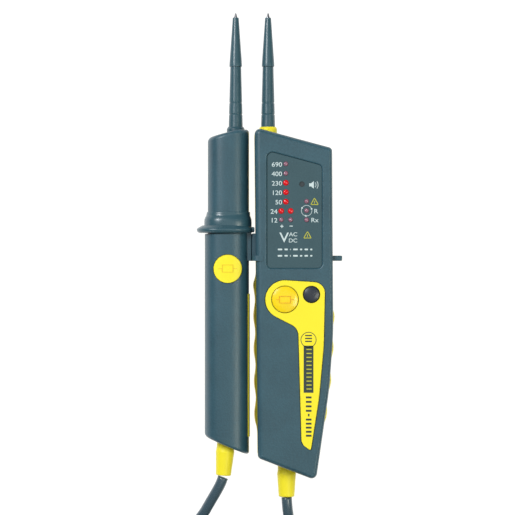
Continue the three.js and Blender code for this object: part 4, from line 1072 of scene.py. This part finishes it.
# printed scale on the display
scale = {
    "top": panel["high"],
    "thickness": 0.03,
    "sunk": 0.02,  # how far the print goes into what it lies on
    "numerals": 2.65,
    "column": [("690", 53.0), ("400", 47.5), ("230", 42.0), ("120", 36.5), ("50", 31.0)],
    "rows": [("24", 25.6), ("12", 20.5)],
    "weight": 0.006,
    "stretch": 1.1,
    "drop": 0.3,
    "dashRows": [3.2, -0.5],
    "dashes": [2.6, 1.9, 0.5, 2.7, 1.3, 2.0, 1.2],
    "dashStart": 3.3,
    "dashSpan": 20.1,
    "plus": (5.7, 16.7),
    "minus": (11.1, 16.8),
    "horn": [(21.6, 39.9), (22.7, 39.9), (24.3, 38.6), (24.3, 43.0), (22.7, 41.7), (21.6, 41.7)],
    "turnCentre": (20.1, 25.8),
    "turnRadius": 3.08,
}


def wordsOf(entries):
    # each entry is (text, x, y, height, side that x stands for); its letters are scaled to that height
    made = []
    for text, x, y, height, side in entries:
        curve = bpy.data.curves.new("words", "FONT")
        curve.body = text
        curve.offset = scale["weight"]
        curve.extrude = 0.01
        carrier = bpy.data.objects.new("words", curve)
        bpy.context.collection.objects.link(carrier)
        graph = bpy.context.evaluated_depsgraph_get()
        mesh = bpy.data.meshes.new_from_object(carrier.evaluated_get(graph))
        bpy.data.objects.remove(carrier)
        place = np.empty(len(mesh.vertices) * 3, np.float32)
        mesh.vertices.foreach_get("co", place)
        place = place.reshape(-1, 3)
        low, high = place.min(0), place.max(0)
        grow = height / (high[1] - low[1])
        across = {"right": high[0], "left": low[0], "middle": (low[0] + high[0]) / 2}[side]
        flat = (place[:, :2] - [across, (low[1] + high[1]) / 2]) * [grow * scale["stretch"], grow] + [x, y]
        level = np.where(place[:, 2] > 0, scale["top"] + scale["thickness"], scale["top"] - scale["sunk"])
        points = (np.column_stack([flat, level]) + drawingShift) * mm
        mesh.vertices.foreach_set("co", points.astype(np.float32).ravel())
        mesh.update()
        piece = bpy.data.objects.new("words", mesh)
        bpy.context.collection.objects.link(piece)
        made.append(piece)
    return made


def printed(name, pieces, material):
    # flat print on the main unit, as one piece
    piece = gathered(name, pieces)
    piece.data.materials.clear()
    piece.data.materials.append(material)
    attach(piece, "main_unit")
    return piece


def signTriangle(x, y, side, low, high):
    # an upright triangle's outline with a short bar and a dot in it
    reach = side / math.sqrt(3)
    corners = [(x + reach * math.cos(a), y + reach * math.sin(a), 0.45) for a in np.radians([90, 210, 330])]
    frameLine = sweptSolid("triangle", filletPath(corners, 0.0, steps=4), [(0, low), (0, high)])
    inside = sweptSolid("inside", filletPath(corners, 0.42, steps=3), [(0, low - 1), (0, high + 1)])
    shaped(frameLine, cut=[inside])
    bar = roundedBar(x, y + 0.1, 0.36, 1.5, low, high)
    dot = roundedBar(x, y - 1.05, 0.36, 0.36, low, high)
    return [frameLine, bar, dot]


def makeScale():
    # letters and signs, each a thin solid on the display
    low, high = scale["top"] - scale["sunk"], scale["top"] + scale["thickness"]
    size = scale["numerals"]
    words = [(text, 5.75, y - scale["drop"], size, "right") for text, y in scale["column"]]
    words += [(text, 3.05, y - scale["drop"], size, "right") for text, y in scale["rows"]]
    words += [("V", 7.0, 10.2, 5.7, "middle"), ("AC", 9.8, 12.0, 2.3, "left"), ("DC", 9.8, 8.4, 2.3, "left")]
    words += [("R", 24.6, 25.5, 2.5, "left"), ("Rx", 22.9, 20.3, 2.5, "left")]
    pieces = wordsOf(words)
    # plus and minus
    x, y = scale["plus"]
    pieces += [roundedBar(x, y, 1.9, 0.5, low, high), roundedBar(x, y, 0.5, 1.9, low, high + 0.004)]
    pieces.append(roundedBar(*scale["minus"], 1.9, 0.5, low, high))
    # two rows of dashes with even gaps
    dashes = scale["dashes"]
    gap = (scale["dashSpan"] - sum(dashes)) / (len(dashes) - 1)
    starts = scale["dashStart"] + np.cumsum([0, *dashes[:-1]]) + gap * np.arange(len(dashes))
    for y in scale["dashRows"]:
        pieces += [roundedBar(x + d / 2, y, d, 0.95, low, high, 0.3) for x, d in zip(starts, dashes)]
    # the loudspeaker, then the turning field's ring with its three dots
    pieces.append(sweptSolid("horn", np.array(scale["horn"]), [(0, low), (0, high)]))
    pieces += [ringBand(23.4, 40.8, r, r + 0.34, low, high, -38, 38, 12) for r in (2.0, 3.2)]
    (x, y), r = scale["turnCentre"], scale["turnRadius"]
    pieces.append(ringBand(x, y, 2.95, 3.2, low, high, steps=72))
    for angle in np.radians([150, 20, 262]):
        pieces.append(post(x + r * math.cos(angle), y + r * math.sin(angle), 0.5, low, high + 0.004, 20))
    printed("scalePrint", pieces, paleInk)
    signs = signTriangle(24.7, 30.6, 5.1, low, high) + signTriangle(20.6, 11.1, 5.1, low, high)
    printed("signPrint", signs, yellowInk)


stripe = {
    "x": 21.2,
    "width": 5.7,
    "top": -52.8,
    "bottom": -80.2,
    "ring": -49.4,
    "ringRadius": 4.6,
    "rowX": 21.3,
    "barWidth": 3.3,
    "row": [-82.9, -85.5, -88.1, -90.7, -95.8, -98.2, -100.5, -102.9, -105.2],
    "dash": -93.2,
}


def makeStripe():
    # a plain ring with bars, a plain dark stripe with thin lines, and a row of short bars
    t, low, high = stripe, inlay["high"] - 0.02, inlay["high"] + 0.03
    x = t["x"]
    dark = [roundedBar(x, (t["top"] + t["bottom"]) / 2, t["width"], t["top"] - t["bottom"], low, high, 0.1)]
    dark.append(ringBand(x, t["ring"], t["ringRadius"] - 0.4, t["ringRadius"], low, high, steps=72))
    dark += [roundedBar(x, t["ring"] + d, 4.0, 0.75, low, high, 0.1) for d in (-0.9, 0.8, 2.5)]
    dark += [roundedBar(t["rowX"], y, t["barWidth"], 1.15, low, high, 0.2) for y in t["row"]]
    dark.append(roundedBar(t["rowX"], t["dash"], 0.9, 1.5, low, high, 0.2))
    printed("stripePrint", dark, darkInk)
    lines = np.arange(t["bottom"] + 2.2, t["top"] - 1.6, 2.3)
    fine = [roundedBar(x + 0.3, y, 3.0, 0.6, high - 0.01, high + 0.02, 0.1) for y in lines]
    printed("stripeLines", fine, yellowInk)


makeScale()
makeStripe()
print("print ready")


# probe handle
handle = {
    "upperX": -25.6,
    "lowerX": -26.5,
    "upperHalf": (12.1, 12.5),
    "lowerHalf": (13.0, 13.5),
    "top": 71.9,
    "bottom": -111.8,
    "step": 12.6,
    "topLean": 0.269,
    "bottomLean": -0.4245,
    "edge": 1.9,
    "topEdge": 2.4,
    "wall": 2.2,
    "parting": 13.0,
    "lip": 1.2,
    "screws": [(-25.6, 46.0), (-26.5, -84.0)],
    "screwHole": 1.6,
    "screwHead": 3.0,
    "boss": 3.5,
    "railRoom": (-16.06, 60, -3.8, 14.6, 15.7, 25.5),  # x, y and z of the openings by the dock
    "tabRoom": (-14.91, 60, -22.5, -3.5, 16.5, 24.4),
    "sideLip": {"proud": 0.5, "left": -16.5, "low": -106.5, "high": -22.9, "bottom": 7.0, "top": 24.2},
}
handleKey = {
    "x": -25.9,
    "y": -8.1,
    "radius": 8.2,
    "proud": 0.6,
    "rim": 24.2,
    "rimDepth": 1.2,
    "stem": 24.0,
    "wall": 1.2,
    "ceiling": 29.4,
    "sign": (0.2, 6.2, 4.2, 2.3),  # above the middle, width, height, leads
}


def handleForm(name, inset=0.0, edge=None):
    # upper and lower columns with slanted ends; an end is rounded by r: it is drawn in by r(1 - cos a)
    # at the height r(1 - sin a)
    h = handle
    r = h["edge"] if edge is None else edge
    angle = np.linspace(0, math.pi / 2, 9)
    drawn, climb = r * (1 - np.cos(angle)), r * (1 - np.sin(angle))
    bottom, middle, top = h["bottom"] + inset, h["step"] - inset, h["top"] - inset

    def station(y, part, d=0.0, lean=0.0):
        # the upper or lower column's section at y, drawn in by d
        width, depth = h[part + "Half"]
        return (y, h[part + "X"], width - inset - d, depth - inset - d, lean)

    lower = [station(bottom + c, "lower", d, h["bottomLean"]) for d, c in zip(drawn[::-1], climb[::-1])]
    straight = [station(bottom + 30, "lower"), station(middle - 0.3, "lower"),
                station(middle, "upper"), station(top - 25, "upper")]
    drawn, climb = h["topEdge"] / r * drawn, h["topEdge"] / r * climb
    upper = [station(top - c, "upper", d, h["topLean"]) for d, c in zip(drawn, climb)]
    return roundColumn(name, lower + straight + upper)


def handleHoles():
    # through both shells: the probe's collar above, the strain relief below
    return [
        bore(-21.3, 18.0, openings["collar"], 60.0, 95.2, 96),
        bore(-27.3, 18.0, 5.35, -141.8, -103.8, 96),
    ]


def everything(low, high):
    # a slab wider than the tester, between two heights
    return block(-90, 90, -200, 200, low, high)


def handleBosses(low, high):
    # a post round each screw, kept inside the handle's form
    h = handle
    return [shaped(post(x, y, h["boss"], low, high), kept=[handleForm("keep", 1.1, 0.5)])
            for x, y in h["screws"]]


def makeHandleFront():
    # the form above the parting, hollowed, with bosses and the openings for the dock and the button
    h, k = handle, handleKey
    shell = handleForm("handleFront")
    shaped(shell, kept=[everything(h["parting"] + 0.15, 60)])
    rebate = shaped(handleForm("rebate", h["lip"] - 0.25, 0.5), kept=[everything(5, h["parting"] + 1.8)])
    shaped(shell, cut=[handleForm("hollow", h["wall"], 0.3), rebate])
    shaped(shell, joined=handleBosses(h["parting"] + 0.15, 40))
    cuts = [block(*h["railRoom"]), block(*h["tabRoom"])]
    cuts.append(post(k["x"], k["y"], k["radius"] + 0.3, 18, 60, 128))
    cuts += [post(x, y, h["screwHole"], 0, 23, 32) for x, y in h["screws"]]
    shaped(shell, cut=cuts + handleHoles())
    return finished(shell, slateShell, "probe_handle", ["probe_front_shell"])


def makeHandleBack():
    # the form below the parting with a lip inside the front shell, hollowed, with bosses
    h = handle
    shell = handleForm("handleBack")
    shaped(shell, kept=[everything(-10, h["parting"] - 0.15)])
    lip = shaped(handleForm("lip", h["lip"], 0.5), kept=[everything(9, h["parting"] + 1.5)])
    shaped(shell, joined=[lip])
    shaped(shell, cut=[handleForm("hollow", h["wall"], 0.3)])
    shaped(shell, joined=handleBosses(5.5, h["parting"] - 0.15))
    cuts = [post(x, y, h["screwHole"], -5, 13, 32) for x, y in h["screws"]]
    cuts += [post(x, y, h["screwHead"], -5, 8.7, 48) for x, y in h["screws"]]
    shaped(shell, cut=cuts + handleHoles())
    return finished(shell, yellowShell, "probe_handle", ["probe_back_shell"])


guardRing = {
    # each station is y, x, half width, half depth
    "flange": [
        (12.9, -27.5, 15.1, 14.9), (13.5, -27.5, 16.2, 16.0), (14.8, -27.5, 16.7, 16.5),
        (15.8, -27.45, 16.1, 15.9), (17.3, -26.9, 14.2, 14.4),
    ],
    "bell": [
        (16.2, -25.9, 13.9, 14.3), (18.5, -25.9, 13.95, 14.35), (20.6, -25.9, 13.85, 14.2),
        (22.0, -25.85, 13.45, 13.75), (23.1, -25.75, 12.95, 13.3), (24.2, -25.65, 12.8, 13.15),
        (24.9, -25.6, 12.75, 13.1), (25.2, -25.6, 12.6, 12.95),
    ],
    "opening": (12.3, 12.7),
    "tab": (-20.0, -10.25, 13.3, 16.4, 13.6, 24.6),
    "shoe": (-15.76, -12.06, -3.5, 14.4, 16.0, 25.2),
    "slot": (1.1, 2.25, 12.9),  # depth, half height, upper end: what the rail's stem runs in
    "pocket": (2.7, 0.9, 3.95),  # depth, where it starts, half height: what the rail's head runs in
}


def makeGuard():
    # two columns of smoothly changing section, a tab and a shoe, opened for the handle and the rail
    g = guardRing
    solids = []
    for part in ("flange", "bell"):
        stations = smoothRoute(g[part], 0.22)
        solids.append(roundColumn(part, np.column_stack([stations, np.zeros(len(stations))]), 144))
    tab = softened(block(*g["tab"]), 0.7)
    ring = shaped(solids[0], joined=[solids[1], tab])
    ring.name = "guardRing"
    width, depth = g["opening"]
    ends = [(y, handle["upperX"], width, depth, 0) for y in (5, 40)]
    shaped(ring, cut=[roundColumn("opening", ends)])
    x0, x1, y0, y1, z0, z1 = g["shoe"]
    middle = (rail["bottom"] + rail["top"]) / 2
    shaped(ring, joined=[softened(block(x0, x1, y0, y1, z0, z1), 0.35)])
    depth, half, upper = g["slot"]
    slot = block(x1 - depth, x1 + 5, y0 - 5, upper, middle - half, middle + half)
    depth, back, half = g["pocket"]
    pocket = block(x1 - depth, x1 - back, y0 - 5, upper, middle - half, middle + half)
    shaped(ring, cut=[slot, pocket])
    return finished(ring, slateSmooth, "probe_handle", ["probe_guard"])


def makeSideLip():
    # the back shell's thin lip over the handle's right side: the handle's form set out, less the form itself
    place = handle["sideLip"]
    lip = handleForm("sideLip", -place["proud"])
    keep = block(place["left"], -10.0, place["low"], place["high"], place["bottom"], place["top"])
    shaped(lip, kept=[keep])
    shaped(lip, cut=[handleForm("within", 0.03)])
    return finished(lip, yellowShell, "probe_handle")


def makeHandleKey():
    # a round cap whose top is the handle's form set out by "proud", hollow, with a rim and a stem
    k = handleKey
    cap = post(k["x"], k["y"], k["radius"], 23.0, 60, 128)
    shaped(cap, kept=[handleForm("over", -k["proud"])])
    softened(cap, 0.35)
    shift, width, height, reach = k["sign"]
    sign = loadMark(k["x"], k["y"] + shift, width, height, reach, 30.6, 60)
    shaped(sign, kept=[handleForm("over", -k["proud"] - 0.25)])
    shaped(sign, cut=[handleForm("under", -k["proud"] + 0.02)])
    sign.name = "handleKeySign"
    # the sign's deeper yellow is painted shade round the emboss, not a colour of its own
    finished(sign, yellowSignShade, "probe_load_button")
    inner = k["radius"] - k["wall"]
    shaped(cap, cut=[post(k["x"], k["y"], inner, 20, k["ceiling"], 96)])
    rim = post(k["x"], k["y"], k["radius"] + 1.0, k["rim"] - k["rimDepth"], k["rim"], 128)
    shaped(rim, cut=[post(k["x"], k["y"], inner, 20, k["ceiling"], 96)])
    shaped(cap, joined=[rim, post(k["x"], k["y"], 2.0, k["stem"], 29.6, 48)])
    cap.name = "handleKey"
    return finished(cap, yellowShell, "probe_load_button", ["probe_load_button"])


makeHandleFront()
makeHandleBack()
makeSideLip()
makeGuard()
makeHandleKey()
print("handle ready")


# probes, collars, strain reliefs
probe = {
    "height": 18.0,
    "mainX": -2.3,
    "handleX": -21.3,
    "sleeveFoot": 61.0,
    "sleeveTop": 110.6,
    "collarTop": 75.2,
    "sleeve": (4.15, 3.2),
    "grooves": [82.6, 89.4],
    "rod": 1.0,
    "tip": 142.2,
    "rodFoot": [(0, 55), (1.6, 55), (1.6, 60.7)],
    "bore": 0.3,  # between the rod and what is round it
    "flange": (1.1, 2.0),  # of the sleeve's foot: how far out, how high
    "collarFoot": 63.3,
    "grooveDepth": 0.2,
    "cap": (3.74, 1.66, 110.66, 139.5),  # radius below and above, from, to
}


def turnedPart(name, points, radii, centre, material, body, nodes, sides=96):
    # a profile with rounded corners, turned about the tester's length
    piece = turnedSolid(name, softLine(points, radii, 6), centre, sides)
    return finished(piece, material, body, nodes)


def closedLine(points, radii, steps=6):
    # a closed profile with rounded corners, ending where it began
    path = filletPath(np.column_stack([np.asarray(points, float), radii]), steps=steps)
    return np.vstack([path, path[:1]])


def makeProbe(unit, x, body, collarMaterial, collarTaper):
    # four turned pieces on one axis: a rod, a tapering sleeve with two grooves, a collar and a tip cap
    p = probe
    centre = (x, 0, p["height"])
    hole = p["rod"] + p["bore"]
    bottom, top = p["sleeve"]
    points = [*p["rodFoot"], (p["rod"], p["rodFoot"][-1][1]), (p["rod"], p["tip"] - 2.5),
              (0.34, p["tip"] - 0.25), (0, p["tip"])]
    turnedPart(unit + "Rod", points, [0, 0.2, 0.2, 0, 0.9, 0.2, 0], centre, platedSteel, body,
               [unit + "_rod"], 48)

    def radiusAt(y):
        # the sleeve's straight taper
        return bottom + (top - bottom) * (y - p["collarTop"]) / (p["sleeveTop"] - p["collarTop"])

    out, thick = p["flange"]
    foot = p["sleeveFoot"]
    line = [(hole, foot, 0.1), (bottom + out, foot, 0.2), (bottom + out, foot + thick, 0.2),
            (bottom, foot + thick, 0.1), (bottom, p["collarTop"], 3)]
    for y in p["grooves"]:
        floor = radiusAt(y) - p["grooveDepth"]
        line += [(radiusAt(y - 0.5), y - 0.5, 0.15), (floor, y - 0.15, 0.1), (floor, y + 0.15, 0.1),
                 (radiusAt(y + 0.5), y + 0.5, 0.15)]
    line += [(top, p["sleeveTop"], 0.15), (hole, p["sleeveTop"], 0.1)]
    line = np.array(line)
    sleeve = turnedSolid(unit + "Sleeve", closedLine(line[:, :2], line[:, 2]), centre, 112)
    finished(sleeve, slateSmooth, body, [unit + "_sleeve"])

    inner, outer, foot = bottom + 0.3, bottom + 1.1, p["collarFoot"]
    points = [(inner, foot), (outer, foot), (outer, p["collarTop"] - 1.2),
              (outer - collarTaper, p["collarTop"]), (inner, p["collarTop"])]
    collar = turnedSolid(unit + "Collar", closedLine(points, [0.1, 0.1, 0.8, 0.25, 0.05]), centre, 112)
    finished(collar, collarMaterial, body, [unit + "_collar"])

    wide, narrow, low, high = p["cap"]
    points = [(hole, low), (wide, low), (wide - 0.12, low + 2.2), (narrow + 0.15, high - 0.6),
              (narrow, high), (hole, high)]
    cap = turnedSolid(unit + "Cap", closedLine(points, [0.1, 0.2, 4, 0.5, 0.3, 0.1]), centre, 96)
    finished(cap, slateSmooth, unit + "_tip_cap", [unit + "_tip_cap"])


boots = {
    "mainBoot": {
        "x": 8.6, "z": 15.0, "end": -142.3, "top": 5.55, "bottom": 4.6, "neck": -118.92,
        "shoulder": -126.5, "tilt": 0.0, "pivot": 0.0,
    },
    "handleBoot": {
        "x": -27.3, "z": 18.0, "end": -129.6, "top": 5.45, "bottom": 4.4, "neck": -105.1,
        "shoulder": -113.2, "tilt": -0.07, "pivot": -111.8,
    },
}


def makeRelief(name, body, node):
    # a tapering boot turned about the tester's length, then swung by tilt about its pivot
    b = boots[name]
    top, neck, shoulder = b["top"], b["neck"], b["shoulder"]
    points = [(0, b["end"]), (b["bottom"], b["end"]), (top - 0.12, shoulder - 3.4), (top, shoulder - 2.6),
              (top - 0.4, shoulder), (top - 0.4, neck), (top + 1.2, neck), (top + 1.2, neck + 2),
              (0, neck + 2)]
    profile = softLine(np.array(points) - (0, b["pivot"]), [0, 0.7, 2, 0.8, 0.5, 0, 0.3, 0.3, 0], 6)
    piece = turnedSolid(name, profile, (0, 0, 0), 96)
    turn = Matrix.Rotation(b["tilt"], 4, "Z")
    place = (np.array([b["x"], b["pivot"], b["z"]]) + drawingShift) * mm
    piece.data.transform(Matrix.Translation(-Vector(drawingShift * mm)))
    piece.data.transform(Matrix.Translation(Vector(place)) @ turn)
    return finished(piece, yellowShell, body, [node])


makeProbe("main", probe["mainX"], "main_unit", yellowShell, 0.5)
makeProbe("probe", probe["handleX"], "probe_handle", slateSmooth, 0.7)
makeRelief("mainBoot", "main_unit", "main_strain_relief")
makeRelief("handleBoot", "probe_handle", "probe_strain_relief")
print("probes ready")


# back fittings, torch, and what is inside
torchLens = {"x": 13.7, "z": 23.0, "top": 67.4, "length": 8.0, "radius": 2.5}
cell = {"radius": 5.25, "z": 7.65, "low": -96.4, "high": -52.9, "pole": 1.9, "apart": 10.8}


def makeTorchLamp():
    # a barrel with a domed end, turned about the tester's length
    top, r = torchLens["top"], torchLens["radius"]
    points = [(0, top - torchLens["length"]), (r, top - torchLens["length"]), (r, top - 1.9),
              (r * 0.78, top - 0.75), (r * 0.42, top - 0.15), (0, top)]
    return turnedPart("torchLens", points, [0, 0.2, 0.8, 1.0, 1.0, 0], (torchLens["x"], 0, torchLens["z"]),
                      lampLens, "main_unit", ["torch_lamp"], 64)


def makeCell(name, node, x, up):
    # a cell with a rolled-in wrapper edge and its small pole, turned about the tester's length
    r, low, high = cell["radius"], cell["low"], cell["high"]
    points = [(0, low), (r - 0.9, low), (r - 0.7, low + 0.25), (r, low + 0.3), (r, high - 1.0),
              (r - 0.8, high - 0.95), (cell["pole"], high - 1.0), (cell["pole"], high), (0, high)]
    radii = [0, 0.1, 0.1, 0.3, 0.3, 0.1, 0.1, 0.25, 0]
    if not up:
        points = [(radius, low + high - y) for radius, y in points][::-1]
        radii = radii[::-1]
    return turnedPart(name, points, radii, (x, 0, cell["z"]), cellWrap, "main_unit", [node], 64)


makeTorchLamp()
makeCell("upperCell", "battery_1", tub["x"] - cell["apart"] / 2, True)
makeCell("lowerCell", "battery_2", tub["x"] + cell["apart"] / 2, False)
refined("battery_cover", yellowShell, "battery_cover", 0.2)
refined("cover_lock", blackPlastic, "cover_lock", 0.12)
for screw in ("shell_screw_1", "shell_screw_2", "shell_screw_3"):
    refined(screw, platedSteel, "main_unit", 0.1)
for screw in ("probe_screw_1", "probe_screw_2"):
    refined(screw, platedSteel, "probe_handle", 0.1)

inside = {
    "board": (boardGreen, ["main_circuit_board", "probe_circuit_board"]),
    "black": (blackPlastic, ["buzzer", "load_switch", "torch_switch", "probe_load_switch"]),
    "ceramic": (ceramicBody, ["load_resistor", "probe_load_resistor"]),
    "steel": (platedSteel, ["vibration_motor", "battery_bridge_contact", "battery_plate_contact",
                            "battery_spring_contact"]),
    "brass": (weightBrass, ["eccentric_weight"]),
}
for material, nodes in inside.values():
    for node in nodes:
        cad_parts[node].data.materials.clear()
        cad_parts[node].data.materials.append(material)
print("inside ready")


# light, floor and ending
light = {
    "sky": (1.0, 1.0, 1.0),
    "skyStrength": 0.2,
    "key": {"place": (-0.6, 0.5, 0.95), "size": 0.36, "power": 9.8, "colour": (0.97, 1.0, 1.03)},
    "fill": {"place": (0.15, -0.1, 1.3), "size": 1.1, "power": 2.2, "colour": (1.0, 1.0, 0.98)},
    "side": {"place": (0.6, -0.15, 0.85), "size": 0.45, "power": 3.5, "colour": (1.0, 1.0, 0.84)},
    "floor": (100, 100, 100),
    "floorGlow": 0.97,
    "floorHalf": 3000,  # mm
    "floorLevel": -0.3,
}


def addLamp(name, place, size, power, colour):
    # a square lamp that looks at the frame's origin
    data = bpy.data.lights.new(name, "AREA")
    data.size = size
    data.energy = power
    data.color = colour
    lamp = bpy.data.objects.new(name, data)
    lamp.location = place
    lamp.rotation_euler = (-Vector(place)).to_track_quat("-Z", "Y").to_euler()
    bpy.context.collection.objects.link(lamp)


def makeStage():
    # a dim pale room, three lamps, and a wide pale floor just under the tester
    world = bpy.data.worlds.new("paleRoom")
    world.use_nodes = True
    world.node_tree.nodes["Background"].inputs["Color"].default_value = (*light["sky"], 1.0)
    world.node_tree.nodes["Background"].inputs["Strength"].default_value = light["skyStrength"]
    bpy.context.scene.world = world
    addLamp("keyLight", **light["key"])
    addLamp("fillLight", **light["fill"])
    addLamp("sideLight", **light["side"])
    half, level = light["floorHalf"], light["floorLevel"]
    points = [(-half, -half, level), (half, -half, level), (half, half, level), (-half, half, level)]
    floor = makeMesh("floor", points, [(0, 1, 2, 3)])
    paper = mouldedFinish("floorPaper", light["floor"], 0.8, 900, 0.0, 0.0, rub=0.0, dust=0.0,
                          glow=(255, 255, 255), glowStrength=light["floorGlow"])
    floor.data.materials.append(paper)


makeStage()
bpy.context.scene.view_settings.view_transform = "Standard"
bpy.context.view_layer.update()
